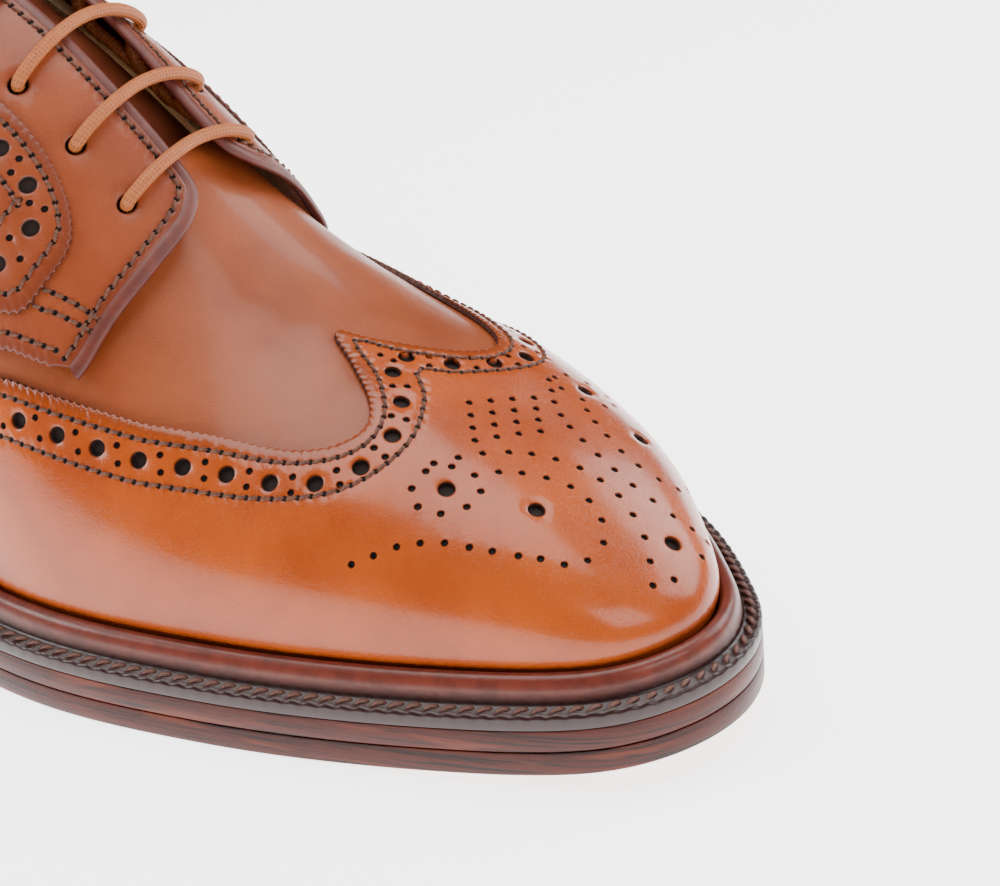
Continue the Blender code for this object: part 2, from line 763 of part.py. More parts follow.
def lace_half(side, number):
    """Points of a crossing from inside an eyelet to the middle of the gap."""
    share = share_of(FIRST_EYELET - EYELET_STEP * number)
    face = quarter_face(side, share, EYELET_FROM_CENTRE)
    edge_face = quarter_face(side, share, FACING_HALF_GAP)
    steps = (
        (EYELET_FROM_CENTRE, face - 0.6 * QUARTER_THICKNESS),
        (EYELET_FROM_CENTRE - 0.3, face + 0.5 * LACE_LIFT),
        (EYELET_FROM_CENTRE - 2.2, face + 0.98 * LACE_LIFT),
        (EYELET_FROM_CENTRE - 5.0, (face + edge_face) / 2 + LACE_LIFT),
        (FACING_HALF_GAP, edge_face + LACE_LIFT),
        (0.0, edge_face + LACE_LIFT),
    )
    girth = full_girth(side, share)
    return [on_last(side, share, girth - aside, lift) for aside, lift in steps]


def make_lace_bar(number, home, finish):
    """One straight crossing of the lace, from eyelet to eyelet over the gap."""
    lateral = lace_half("lateral", number)
    medial = lace_half("medial", number)
    middle = (lateral[-1] + medial[-1]) / 2
    knots = np.array(lateral[:-1] + [middle] + medial[-2::-1])
    chord = np.concatenate([[0], np.cumsum(np.linalg.norm(np.diff(knots, axis=0), axis=1))])
    route = spline(chord, knots, np.linspace(0, chord[-1], LACE_POINTS))
    curve = bpy.data.curves.new("lace_bar", "CURVE")
    curve.dimensions = "3D"
    curve.bevel_depth = LACE_RADIUS * MM
    curve.bevel_resolution = 2
    curve.use_fill_caps = True
    line = curve.splines.new("POLY")
    line.points.add(len(route) - 1)
    for point, place in zip(line.points, route):
        point.co = (*world(place), 1.0)
    curve.materials.append(finish)
    home.objects.link(bpy.data.objects.new(f"lace_bar_{number + 1}", curve))


def main():
    """Empty the scene and build every piece of the shoe."""
    for old in list(bpy.data.objects):
        bpy.data.objects.remove(old, do_unlink=True)
    home = bpy.data.collections.new("longwing_brogue")
    cutters = bpy.data.collections.new("cutters")
    bpy.context.scene.collection.children.link(home)
    bpy.context.scene.collection.children.link(cutters)
    make_sole(home)
    make_welt(home)
    make_heel(home)
    make_insole(home)
    make_upper(home)
    make_tongue(home)
    make_longwing(home)
    make_heel_strip(home)
    for side in ("lateral", "medial"):
        cut_eyelets(make_quarter(side, home), side, cutters)
    lace = material("lace_cotton", (0.62, 0.3, 0.1), 0.6)
    for number in range(EYELET_PAIRS):
        make_lace_bar(number, home, lace)


main()
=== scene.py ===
"""Looks of a longwing brogue: one right shoe in polished brown leather.

Lengths are in millimetres in the shoe's own frame: x from the heel to the toe,
y to the inner side of the foot, z up. world() turns them into the row's metres.
"""

import math

import bpy
import numpy as np
from mathutils import Matrix, Vector, kdtree
from mathutils.geometry import delaunay_2d_cdt

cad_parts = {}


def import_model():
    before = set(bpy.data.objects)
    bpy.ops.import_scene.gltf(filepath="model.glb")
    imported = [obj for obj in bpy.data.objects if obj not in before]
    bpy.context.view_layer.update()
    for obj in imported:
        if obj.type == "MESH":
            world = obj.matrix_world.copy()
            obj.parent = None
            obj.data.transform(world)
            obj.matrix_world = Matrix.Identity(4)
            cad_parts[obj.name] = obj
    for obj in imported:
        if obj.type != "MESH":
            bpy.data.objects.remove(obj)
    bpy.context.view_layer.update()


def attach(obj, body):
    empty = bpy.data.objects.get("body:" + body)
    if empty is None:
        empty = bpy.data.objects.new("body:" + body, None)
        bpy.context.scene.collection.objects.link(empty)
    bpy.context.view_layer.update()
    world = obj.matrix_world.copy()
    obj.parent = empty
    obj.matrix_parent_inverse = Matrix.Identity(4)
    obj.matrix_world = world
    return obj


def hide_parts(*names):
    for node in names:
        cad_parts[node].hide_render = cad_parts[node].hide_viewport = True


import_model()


# Camera and light.
# A longer lens looks down on the toe from the outer side, rolled as the photo is.
# Four soft panels light the shoe, and a pale floor throws light back on it.

MM = 0.001
SHIFT = np.array([-143.75, 1.808])
TARGET = np.array([235.0, -4.2, 40.0])
CAMERA_AZIMUTH = 38.0
CAMERA_ELEVATION = 29.0
CAMERA_ROLL = -5.5
CAMERA_DISTANCE = 448.0
FOCAL_PIXELS = 2609.0
CENTRE_PIXEL = (452.0, 457.0)
PHOTO_SIZE = (1000.0, 886.0)
SENSOR = 36.0
CLIP = (0.01, 20.0)


def world(point):
    """Shoe millimetres to world metres."""
    point = np.asarray(point, float)
    return np.stack([point[..., 0] + SHIFT[0], point[..., 1] + SHIFT[1], point[..., 2]], -1) * MM


def make_camera():
    """Camera at the photo's angle, its lens from the focal length in pixels."""
    azimuth, elevation, roll = (math.radians(v) for v in (CAMERA_AZIMUTH, CAMERA_ELEVATION, CAMERA_ROLL))
    level = math.cos(elevation)
    back = np.array([math.sin(azimuth) * level, -math.cos(azimuth) * level, math.sin(elevation)])
    right = np.array([math.cos(azimuth), math.sin(azimuth), 0.0])
    up = np.cross(back, right)
    right, up = (right * math.cos(roll) + up * math.sin(roll), up * math.cos(roll) - right * math.sin(roll))
    aside = (CENTRE_PIXEL[0] - PHOTO_SIZE[0] / 2) / FOCAL_PIXELS * CAMERA_DISTANCE
    above = -(CENTRE_PIXEL[1] - PHOTO_SIZE[1] / 2) / FOCAL_PIXELS * CAMERA_DISTANCE
    place = world(TARGET + back * CAMERA_DISTANCE - right * aside - up * above)
    data = bpy.data.cameras.new("camera")
    data.sensor_width = SENSOR
    data.lens = FOCAL_PIXELS * SENSOR / PHOTO_SIZE[0]
    data.clip_start, data.clip_end = CLIP
    camera = bpy.data.objects.new("camera", data)
    columns = np.column_stack([right, up, back, place])
    camera.matrix_world = Matrix(np.vstack([columns, [0, 0, 0, 1]]).tolist())
    bpy.context.scene.collection.objects.link(camera)
    bpy.context.scene.camera = camera


SURROUND_COLOUR = (0.9, 0.93, 1.0, 1.0)
SURROUND_STRENGTH = 0.12
# Each light: its name, place, aim, size, power and colour.
LIGHTS = (
    ("over", (150, 40, 560), (220, 0, 40), (620, 420), 5.0, (1.0, 0.98, 0.95)),
    ("left", (-160, -330, 330), (190, -20, 50), (260, 200), 1.9, (1.0, 0.99, 0.97)),
    ("far", (420, 420, 300), (230, 20, 40), (420, 260), 2.4, (0.97, 0.98, 1.0)),
    ("front", (620, -60, 330), (260, 0, 30), (240, 200), 0.9, (1.0, 0.99, 0.98)),
)


def make_lights():
    """Soft panels round the shoe and a dim even surround."""
    for name, place, aim, size, power, colour in LIGHTS:
        data = bpy.data.lights.new(name, "AREA")
        data.shape = "RECTANGLE"
        data.size, data.size_y = size[0] * MM, size[1] * MM
        data.energy = power
        data.color = colour
        lamp = bpy.data.objects.new(name, data)
        start, end = world(place), world(aim)
        lamp.location = start
        lamp.rotation_mode = "QUATERNION"
        lamp.rotation_quaternion = Vector(end - start).to_track_quat("-Z", "Y")
        bpy.context.scene.collection.objects.link(lamp)
    surround = bpy.data.worlds.new("surround")
    surround.use_nodes = True
    inputs = surround.node_tree.nodes["Background"].inputs
    inputs["Color"].default_value = SURROUND_COLOUR
    inputs["Strength"].default_value = SURROUND_STRENGTH
    bpy.context.scene.world = surround


class Wire:
    """A socket in a material's node tree that adds, multiplies and mixes like a number."""

    def __init__(self, tree, socket):
        self.tree = tree
        self.socket = socket

    def node(self, kind, settings, inputs):
        """A new node: its settings first, then its sockets by name or number."""
        made = self.tree.nodes.new(kind)
        for key, value in settings.items():
            setattr(made, key, value)
        for key, value in inputs.items():
            if isinstance(value, Wire):
                self.tree.links.new(value.socket, made.inputs[key])
            else:
                made.inputs[key].default_value = value
        return made

    def out(self, kind, settings, inputs, name=0):
        """The named output of a new node."""
        return Wire(self.tree, self.node(kind, settings, inputs).outputs[name])

    def maths(self, operation, *values):
        """One Math node."""
        return self.out("ShaderNodeMath", {"operation": operation}, dict(enumerate(values)))

    def __add__(self, other):
        return self.maths("ADD", self, other)

    def __sub__(self, other):
        return self.maths("SUBTRACT", self, other)

    def __mul__(self, other):
        return self.maths("MULTIPLY", self, other)

    def clamp(self, low, high, start=0.0, end=1.0):
        """Smooth step of this value from low to high, giving start to end."""
        inputs = {"Value": self, "From Min": low, "From Max": high, "To Min": start, "To Max": end}
        return self.out("ShaderNodeMapRange", {"interpolation_type": "SMOOTHSTEP"}, inputs)

    def mix(self, first, second):
        """Colour between two, by this factor."""
        return self.out("ShaderNodeMix", {"data_type": "RGBA"}, {0: self, 6: tint(first), 7: tint(second)}, 2)

    def spread(self, scale):
        """This vector times another."""
        return self.out("ShaderNodeVectorMath", {"operation": "MULTIPLY"}, {0: self, 1: scale})

    def noise(self, scale, detail=3.0, rough=0.55):
        """Soft noise from 0 to 1 at this place."""
        inputs = {"Vector": self, "Scale": scale, "Detail": detail, "Roughness": rough}
        return self.out("ShaderNodeTexNoise", {}, inputs, "Fac")

    def cells(self, scale):
        """Distance to the nearest cell, for leather pores."""
        return self.out("ShaderNodeTexVoronoi", {}, {"Vector": self, "Scale": scale}, "Distance")

    def attribute(self, name):
        """A number stored on the mesh's points."""
        return self.out("ShaderNodeAttribute", {"attribute_name": name}, {}, "Fac")

    def axis(self, name):
        """X, Y or Z of this vector."""
        return self.out("ShaderNodeSeparateXYZ", {}, {0: self}, name)


def tint(colour):
    """A colour with its fourth value, or a wire as it is."""
    return colour if isinstance(colour, Wire) else (*colour, 1.0)


def material(name, **constants):
    """A Principled material: returns it, its shader and a wire at the place in millimetres."""
    made = bpy.data.materials.new(name)
    made.use_nodes = True
    shader = made.node_tree.nodes["Principled BSDF"]
    for key, value in constants.items():
        shader.inputs[key.replace("_", " ")].default_value = value
    start = Wire(made.node_tree, None)
    place = start.out("ShaderNodeTexCoord", {}, {}, "Object").spread((1 / MM,) * 3)
    return made, shader, place


def feed(shader, **wires):
    """Link wires to the shader's sockets."""
    for key, wire in wires.items():
        wire.tree.links.new(wire.socket, shader.inputs[key.replace("_", " ")])


def raise_bump(shader, height, distance, strength=1.0):
    """Bump from a height wire, in millimetres of relief."""
    inputs = {"Height": height, "Distance": distance * MM, "Strength": strength}
    feed(shader, Normal=height.out("ShaderNodeBump", {}, inputs, "Normal"))


FLOOR_SIZE = 30.0
FLOOR_COLOUR = (0.93, 0.93, 0.93)
FLOOR_GLOW = 2.9
PAPER_SCALE = 0.01
PAPER_SHADE = 0.99


def make_floor():
    """Pale sheet of paper far wider than the view."""
    mesh = bpy.data.meshes.new("floor")
    half = FLOOR_SIZE / 2
    corners = [(-half, -half, 0), (half, -half, 0), (half, half, 0), (-half, half, 0)]
    mesh.from_pydata(corners, [], [(0, 1, 2, 3)])
    paper, shader, place = material("floor_paper", Roughness=0.9, Specular_IOR_Level=0.2,
                                    Emission_Strength=FLOOR_GLOW, Emission_Color=(1.0, 1.0, 1.0, 1.0))
    deep = tuple(v * PAPER_SHADE for v in FLOOR_COLOUR)
    feed(shader, Base_Color=place.noise(PAPER_SCALE).mix(FLOOR_COLOUR, deep))
    mesh.materials.append(paper)
    floor = bpy.data.objects.new("floor", mesh)
    bpy.context.scene.collection.objects.link(floor)


make_camera()
make_lights()
make_floor()


# The last.
# The wooden form that a shoe is built on. Its outline, sections and ridge are those of the solids,
# and every leather piece below is laid on it by its distance round the outline and up the side.
# A side's table below holds rows of station and girth, and a flat line holds rows of x and y.

HEEL_BACK = (-4.0, 0.0)
TOE_TIP = (291.5, -3.0)
OUTLINE_COLUMNS = ("along", "lateral", "medial")
OUTLINE = (
    (8.0, -25.0, 25.0),
    (30.0, -36.0, 35.5),
    (60.0, -38.5, 34.5),
    (90.0, -41.0, 32.0),
    (120.0, -46.0, 32.5),
    (150.0, -52.5, 38.5),
    (176.0, -55.0, 46.5),
    (203.0, -51.5, 51.5),
    (230.0, -45.0, 49.0),
    (255.0, -37.5, 39.0),
    (269.0, -32.5, 29.0),
    (280.0, -26.5, 18.5),
    (287.5, -18.0, 9.5),
)
LAST_COLUMNS = ("along", "ridge", "centre", "square", "swell")
LAST = (
    (-10.0, 150.0, 0.0, 2.6, 3.0),
    (35.0, 150.0, 0.0, 2.6, 3.0),
    (60.0, 146.0, 0.0, 2.5, 2.5),
    (90.0, 138.0, 0.0, 2.2, 1.0),
    (120.0, 126.0, 0.0, 2.1, 0.5),
    (140.0, 114.0, 0.5, 2.05, 0.5),
    (155.0, 103.5, 1.0, 2.0, 1.0),
    (173.0, 85.0, 2.0, 2.0, 1.5),
    (184.0, 74.5, 2.0, 2.0, 2.0),
    (195.0, 65.0, 2.0, 2.1, 2.5),
    (208.0, 56.6, 2.0, 2.3, 2.5),
    (226.0, 50.8, 1.5, 2.6, 2.5),
    (244.0, 44.2, 0.5, 3.1, 2.0),
    (258.0, 39.8, -0.5, 3.7, 1.5),
    (275.0, 33.4, -2.0, 4.4, 1.0),
    (292.0, 27.0, -3.0, 4.6, 1.0),
)
COLLAR_COLUMNS = ("along", "height")
COLLAR = (
    (-4.0, 101.0),
    (20.0, 96.0),
    (45.0, 88.0),
    (70.0, 84.0),
    (95.0, 88.5),
    (112.0, 102.0),
    (121.0, 116.0),
    (130.0, 140.0),
)
HEEL_HEIGHT = 26.0
BREAST = 74.0
BALL = 166.0
SPRING_START = 212.0
TOE_SPRING = 5.1
SPRING_POWER = 1.8
SEAT = 9.0
RIDGE_HEIGHT = 7.8
UPPER_INSET = 7.6
WALL = 2.0
THROAT_FRONT = 183.0
THROAT_ROUND = 12.0
FOCUS = 200.0
FAN_START = 235.0
HEEL_CENTRE = 40.0
HEEL_FAN = 50.0
SWELL_FOOT_LIMIT = 0.6
HALF_SAMPLES = 900
RIB_SAMPLES = 301
RIB_TABLE = 721
SIDES = ("lateral", "medial")
TINY = 1e-9
RING_WRAP = 4
TANGENT_STEP = 0.01


def column(columns, rows, name):
    """One named column of a table."""
    place = columns.index(name)
    return np.array([row[place] for row in rows], float)


def spline(knots, values, where):
    """Natural cubic curve through values at knots."""
    knots = np.asarray(knots, float)
    values = np.asarray(values, float)
    where = np.asarray(where, float)
    step = np.diff(knots)
    count = len(knots)
    system = np.eye(count)
    right = np.zeros_like(values)
    for i in range(1, count - 1):
        system[i, i - 1:i + 2] = step[i - 1], 2 * (step[i - 1] + step[i]), step[i]
        right[i] = 6 * ((values[i + 1] - values[i]) / step[i] - (values[i] - values[i - 1]) / step[i - 1])
    bend = np.linalg.solve(system, right)
    cell = np.clip(np.searchsorted(knots, where) - 1, 0, count - 2)
    width = step[cell]
    before = where - knots[cell]
    after = knots[cell + 1] - where
    if values.ndim > 1:
        width, before, after = width[..., None], before[..., None], after[..., None]
    curve = bend[cell] * after ** 3 / (6 * width) + bend[cell + 1] * before ** 3 / (6 * width)
    line_low = (values[cell] / width - bend[cell] * width / 6) * after
    line_high = (values[cell + 1] / width - bend[cell + 1] * width / 6) * before
    return curve + line_low + line_high


def run_length(line):
    """Distance along a line at each of its points."""
    return np.concatenate([[0], np.cumsum(np.linalg.norm(np.diff(line, axis=0), axis=1))])


def unit(rows):
    """Rows made one unit long."""
    return rows / np.maximum(np.linalg.norm(rows, axis=-1, keepdims=True), TINY)


def turn_left(rows):
    """Flat directions turned a quarter to the left."""
    return np.column_stack([-rows[:, 1], rows[:, 0]])


def smooth(value):
    """Soft step from 0 to 1."""
    value = np.clip(value, 0, 1)
    return value * value * (3 - 2 * value)


def outline_halves():
    """Dense outer and inner halves of the outline, heel to toe, with inward normals."""
    along = column(OUTLINE_COLUMNS, OUTLINE, "along")
    lateral = np.column_stack([along, column(OUTLINE_COLUMNS, OUTLINE, "lateral")])
    medial = np.column_stack([along, column(OUTLINE_COLUMNS, OUTLINE, "medial")])[::-1]
    ring = np.vstack([[HEEL_BACK], lateral, [TOE_TIP], medial])
    knots = np.vstack([ring[-RING_WRAP:], ring, ring[:RING_WRAP + 1]])
    chord = np.concatenate([[0], np.cumsum(np.hypot(*np.diff(knots, axis=0).T))])
    heel, toe, again = chord[RING_WRAP], chord[RING_WRAP + 1 + len(OUTLINE)], chord[RING_WRAP + len(ring)]
    halves = {}
    for side, start, end in (("lateral", heel, toe), ("medial", again, toe)):
        place = np.linspace(start, end, HALF_SAMPLES)
        points = spline(chord, knots, place)
        tangent = spline(chord, knots, place + TANGENT_STEP) - spline(chord, knots, place - TANGENT_STEP)
        inward = turn_left(unit(tangent))
        length = np.concatenate([[0], np.cumsum(np.hypot(*np.diff(points, axis=0).T))])
        halves[side] = (points, inward, length)
    return halves


HALVES = outline_halves()
HALF_LENGTH = HALVES["lateral"][2][-1]


def edge(side, share, inset):
    """Point of the outline at a share of the way from heel to toe, moved inward."""
    points, inward, length = HALVES[side]
    moved = points + inset * inward
    return np.stack([np.interp(share, length / length[-1], moved[:, k]) for k in (0, 1)], -1)


def along_of(share):
    """Mean distance along the shoe of the two outline points at a share."""
    return (edge("lateral", share, 0.0)[..., 0] + edge("medial", share, 0.0)[..., 0]) / 2


def share_of(along):
    """Share of the outline at a distance along the shoe."""
    shares = np.linspace(0, 1, HALF_SAMPLES)
    return np.interp(along, along_of(shares), shares)


def sole_height(along):
    """Height of the outsole's bottom: heel seat, arch, flat ball and toe spring."""
    fall = np.clip((BALL - along) / (BALL - BREAST), 0, 1)
    lift = np.clip((along - SPRING_START) / (TOE_TIP[0] - SPRING_START), 0, 2)
    return HEEL_HEIGHT * fall * fall * (3 - 2 * fall) + TOE_SPRING * lift ** SPRING_POWER


def last_value(along, name):
    """A column of the last's sections at a distance along the shoe."""
    knots = column(LAST_COLUMNS, LAST, "along")
    return spline(knots, column(LAST_COLUMNS, LAST, name), np.clip(along, knots[0], knots[-1]))


def ridge_along(along):
    """Where the rib that starts at a station meets the ridge: ribs fan out at toe and heel."""
    reach = FAN_START - FOCUS
    front = np.clip((FAN_START - along) / (2 * reach), 0, 1)
    toe = FOCUS - reach * front ** 2
    back = np.clip((along - HEEL_CENTRE + HEEL_FAN / 2) / HEEL_FAN, 0, 1)
    heel = HEEL_CENTRE + HEEL_FAN / 2 * back ** 2
    middle = np.where(along < HEEL_CENTRE + HEEL_FAN / 2, heel, along)
    return np.where(along > FAN_START - 2 * reach, toe, middle)


def ribs(side, share):
    """Dense ribs of the last from its lower edge to its ridge, one for each share."""
    station = along_of(share)
    foot = edge(side, share, UPPER_INSET)
    top = ridge_along(station)
    top = np.stack([top, last_value(top, "centre")], -1)
    square = last_value(station, "square")[:, None]
    swell = last_value(station, "swell")[:, None]
    turn = np.linspace(0, math.pi / 2, 2 * RIB_SAMPLES)[None, :]
    out = np.clip(np.cos(turn), TINY, 1) ** (2 / square)
    out[:, -1] = 0
    rise = np.sin(turn) ** (2 / square)
    reach = foot - top
    away = reach / np.linalg.norm(reach, axis=1, keepdims=True)
    low = (sole_height(foot[:, 0]) + SEAT)[:, None]
    hidden = np.minimum(RIDGE_HEIGHT / (last_value(station, "ridge")[:, None] - low), SWELL_FOOT_LIMIT)
    push = swell * np.sin(math.pi * np.clip((rise - hidden) / (1 - hidden), 0, 1)) * np.sqrt(out)
    flat = top[:, None] + reach[:, None] * out[..., None] + away[:, None] * push[..., None]
    height = low + (last_value(flat[..., 0], "ridge") - low) * rise
    return np.concatenate([flat, height[..., None]], -1), top, away


def rib_table(side):
    """Ribs resampled evenly along their girth, their girths, their tops and their directions."""
    dense, top, away = ribs(side, np.linspace(0, 1, RIB_TABLE))
    steps = np.linalg.norm(np.diff(dense, axis=1), axis=2)
    girth = np.concatenate([np.zeros((RIB_TABLE, 1)), np.cumsum(steps, axis=1)], 1)
    points = np.zeros((RIB_TABLE, RIB_SAMPLES, 3))
    for i in range(RIB_TABLE):
        even = np.linspace(0, girth[i, -1], RIB_SAMPLES)
        for k in range(3):
            points[i, :, k] = np.interp(even, girth[i], dense[i, :, k])
    return points, girth[:, -1], top, away


TABLES = {side: rib_table(side) for side in SIDES}


def at_row(table, share):
    """A table's rows read at a share."""
    row = np.asarray(share, float) * (RIB_TABLE - 1)
    low = np.clip(np.floor(row).astype(int), 0, RIB_TABLE - 2)
    part = row - low
    if table.ndim > 1:
        part = part[..., None]
    return table[low] * (1 - part) + table[low + 1] * part


def flat(side, share, girth):
    """The last laid out flat: each rib runs straight out from its place on the ridge."""
    _, full, top, away = TABLES[side]
    share = np.asarray(share, float)
    return at_row(top, share) + at_row(away, share) * (at_row(full, share) - girth)[..., None]


def from_top(side, share, aside):
    """Flat place at a distance down a rib from the ridge."""
    _, _, top, away = TABLES[side]
    share, aside = np.broadcast_arrays(np.asarray(share, float), np.asarray(aside, float))
    return at_row(top, share) + at_row(away, share) * aside[..., None]


def is_lateral(place):
    """Whether a flat place is on the outer side of the ridge and of the two end ribs."""
    ridge = last_value(np.clip(place[:, 0], HEEL_CENTRE, FOCUS), "centre")
    result = place[:, 1] < ridge
    for end, mask in ((1.0, place[:, 0] > FOCUS), (0.0, place[:, 0] < HEEL_CENTRE)):
        top, away = at_row(TABLES["lateral"][2], end), at_row(TABLES["lateral"][3], end)
        reach = place - top
        cross = away[0] * reach[:, 1] - away[1] * reach[:, 0]
        result = np.where(mask, cross < 0 if end else cross > 0, result)
    return result


NEVER_ZERO = 1e-12


def apart(values):
    """Divisors kept off zero."""
    return np.where(np.abs(values) < NEVER_ZERO, NEVER_ZERO, values)


def unfold(place):
    """Side, share and girth of flat places, by halving down each side's ribs."""
    place = np.asarray(place, float).reshape(-1, 2)
    lateral = is_lateral(place)
    share = np.zeros(len(place))
    girth = np.zeros(len(place))
    for side in SIDES:
        mask = lateral if side == "lateral" else ~lateral
        if not mask.any():
            continue
        _, full, top, away = TABLES[side]
        q = place[mask]
        sign = 1.0 if side == "lateral" else -1.0

        def beyond(i):
            reach = q - top[i]
            return sign * (away[i, 0] * reach[:, 1] - away[i, 1] * reach[:, 0])

        low = np.zeros(len(q), int)
        high = np.full(len(q), RIB_TABLE - 1)
        while (high - low).max() > 1:
            middle = (low + high) // 2
            ahead = beyond(middle) > 0
            low = np.where(ahead & (high - low > 1), middle, low)
            high = np.where(~ahead & (high - low > 1), middle, high)
        first, second = beyond(low), beyond(high)
        part = np.clip(first / apart(first - second), 0, 1)
        s = (low + part) / (RIB_TABLE - 1)
        share[mask] = s
        girth[mask] = at_row(full, s) - np.linalg.norm(q - at_row(top, s), axis=1)
    return lateral, share, girth


def on_rib(place):
    """Points of the last at flat places."""
    lateral, share, girth = unfold(place)
    result = np.zeros((len(share), 3))
    for side in SIDES:
        mask = lateral if side == "lateral" else ~lateral
        if not mask.any():
            continue
        points, full, _, _ = TABLES[side]
        row = share[mask] * (RIB_TABLE - 1)
        r0 = np.clip(np.floor(row).astype(int), 0, RIB_TABLE - 2)
        fr = (row - r0)[:, None]
        col = np.clip(girth[mask] / at_row(full, share[mask]), 0, 1) * (RIB_SAMPLES - 1)
        c0 = np.clip(np.floor(col).astype(int), 0, RIB_SAMPLES - 2)
        fc = (col - c0)[:, None]
        low = points[r0, c0] * (1 - fc) + points[r0, c0 + 1] * fc
        high = points[r0 + 1, c0] * (1 - fc) + points[r0 + 1, c0 + 1] * fc
        result[mask] = low * (1 - fr) + high * fr
    return result


NORMAL_STEP = 0.7


def facing(place):
    """Outward normals of the last at flat places, and how the surface stretches there."""
    place = np.asarray(place, float).reshape(-1, 2)
    step = np.eye(2) * NORMAL_STEP
    across = (on_rib(place + step[0]) - on_rib(place - step[0])) / (2 * NORMAL_STEP)
    aside = (on_rib(place + step[1]) - on_rib(place - step[1])) / (2 * NORMAL_STEP)
    normal = np.cross(across, aside)
    return unit(normal), across, aside


def skin(place, lift=0.0):
    """Points lifted off the last at flat places."""
    place = np.asarray(place, float).reshape(-1, 2)
    lift = np.broadcast_to(np.asarray(lift, float), (len(place),))
    return on_rib(place) + facing(place)[0] * lift[:, None]


def resample(line, step, closed=False):
    """A line's points set evenly, about a step apart."""
    line = np.asarray(line, float)
    if closed:
        line = np.vstack([line, line[:1]])
    length = run_length(line)
    count = max(2, int(round(length[-1] / step)) + 1)
    even = np.linspace(0, length[-1], count)
    result = np.stack([np.interp(even, length, line[:, k]) for k in range(line.shape[1])], -1)
    return result[:-1] if closed else result


CURVE_SAMPLES = 40


def curve_through(points, step):
    """Smooth even line through a few flat places."""
    points = np.asarray(points, float)
    chord = run_length(points)
    dense = spline(chord, points, np.linspace(0, chord[-1], CURVE_SAMPLES * len(points)))
    return resample(dense, step)


def move_aside(line, distance, closed=False):
    """A flat line moved to its left by a distance."""
    tangent = np.roll(line, -1, axis=0) - np.roll(line, 1, axis=0) if closed else np.gradient(line, axis=0)
    return line + turn_left(unit(tangent)) * np.reshape(distance, (-1, 1))


INSIDE_BLOCK = 4000


def inside(places, ring):
    """Which places lie inside a closed flat ring."""
    result = np.zeros(len(places), bool)
    ahead = np.roll(ring, -1, axis=0)
    for start in range(0, len(places), INSIDE_BLOCK):
        p = places[start:start + INSIDE_BLOCK]
        crosses = (ring[None, :, 1] > p[:, None, 1]) != (ahead[None, :, 1] > p[:, None, 1])
        rise = apart(ahead[:, 1] - ring[:, 1])
        where = ring[:, 0] + (p[:, None, 1] - ring[:, 1]) / rise * (ahead[:, 0] - ring[:, 0])
        result[start:start + INSIDE_BLOCK] = (crosses & (p[:, None, 0] < where)).sum(axis=1) % 2 == 1
    return result


def nearest(points, places):
    """Distance from each place to the nearest of the points."""
    tree = kdtree.KDTree(len(points))
    for i, p in enumerate(points):
        tree.insert((p[0], p[1], 0.0), i)
    tree.balance()
    return np.array([tree.find((p[0], p[1], 0.0))[2] for p in places])


def hole_ring(centre, radius, count, shares):
    """Rings round a hole, true circles on the leather: one ring for each share of the radius."""
    normal, across, aside = (v[0] for v in facing(centre))
    first = across / np.linalg.norm(across)
    second = np.cross(normal, first)
    matrix = np.column_stack([across, aside])
    turn = np.linspace(0, 2 * math.pi, count, endpoint=False)
    offset = np.cos(turn)[:, None] * first + np.sin(turn)[:, None] * second
    move = np.linalg.lstsq(matrix, offset.T, rcond=None)[0].T
    return [centre + move * radius * share for share in shares]


SHARP_ANGLE = 50.0
ROLLED_ANGLE = 70.0
WELT_ANGLE = 60.0


def add_piece(name, points, faces, materials, slot, replaced=(), attributes=None, which=None,
              sharp=SHARP_ANGLE):
    """A shown piece from points in millimetres. It rides on the shoe's one body."""
    mesh = bpy.data.meshes.new(name)
    mesh.from_pydata(world(points).tolist(), [], faces)
    for key, values in (attributes or {}).items():
        mesh.attributes.new(key, "FLOAT", "POINT").data.foreach_set("value", np.asarray(values, np.float32))
    for entry in materials:
        mesh.materials.append(entry)
    if which is not None:
        mesh.polygons.foreach_set("material_index", np.asarray(which, np.int32))
    mesh.shade_smooth()
    mesh.set_sharp_from_angle(angle=math.radians(sharp))
    mesh.update()
    made = bpy.data.objects.new(name, mesh)
    bpy.context.scene.collection.objects.link(made)
    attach(made, "root")
    if replaced:
        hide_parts(*replaced)
    return made


EDGE_DROP = 0.22
EDGE_ROUNDING = 0.28
# Shade painted into the holes, from 0 for none to 1 for black: big holes' floors, pit lips and needle holes.
LIT_RADIUS = 1.0
LIT_FLOOR = 0.6
PIT_SHARES = (1.25, 1.0, 0.86)
PIT_SIDES = 18
NEEDLE_SHARES = (1.45, 0.95)
NEEDLE_SHADE = 0.85
NEEDLE_SIDES = 6
NEEDLE_DROP = -0.12
LIP_DROP = -0.18
LIP_SHADE = 0.3
GRID_CLEAR = 0.45
EDGE_STEP = 0.5
EDGE_FADE = 9.0
WELD = 1e-5


def lattice(ring, step):
    """Even staggered places inside a ring."""
    low, high = ring.min(axis=0), ring.max(axis=0)
    rows = np.arange(low[1], high[1], step * math.sqrt(3) / 2)
    places = []
    for k, y in enumerate(rows):
        x = np.arange(low[0] + (k % 2) * step / 2, high[0], step)
        places.append(np.column_stack([x, np.full(len(x), y)]))
    return np.vstack(places)[inside(np.vstack(places), ring)]


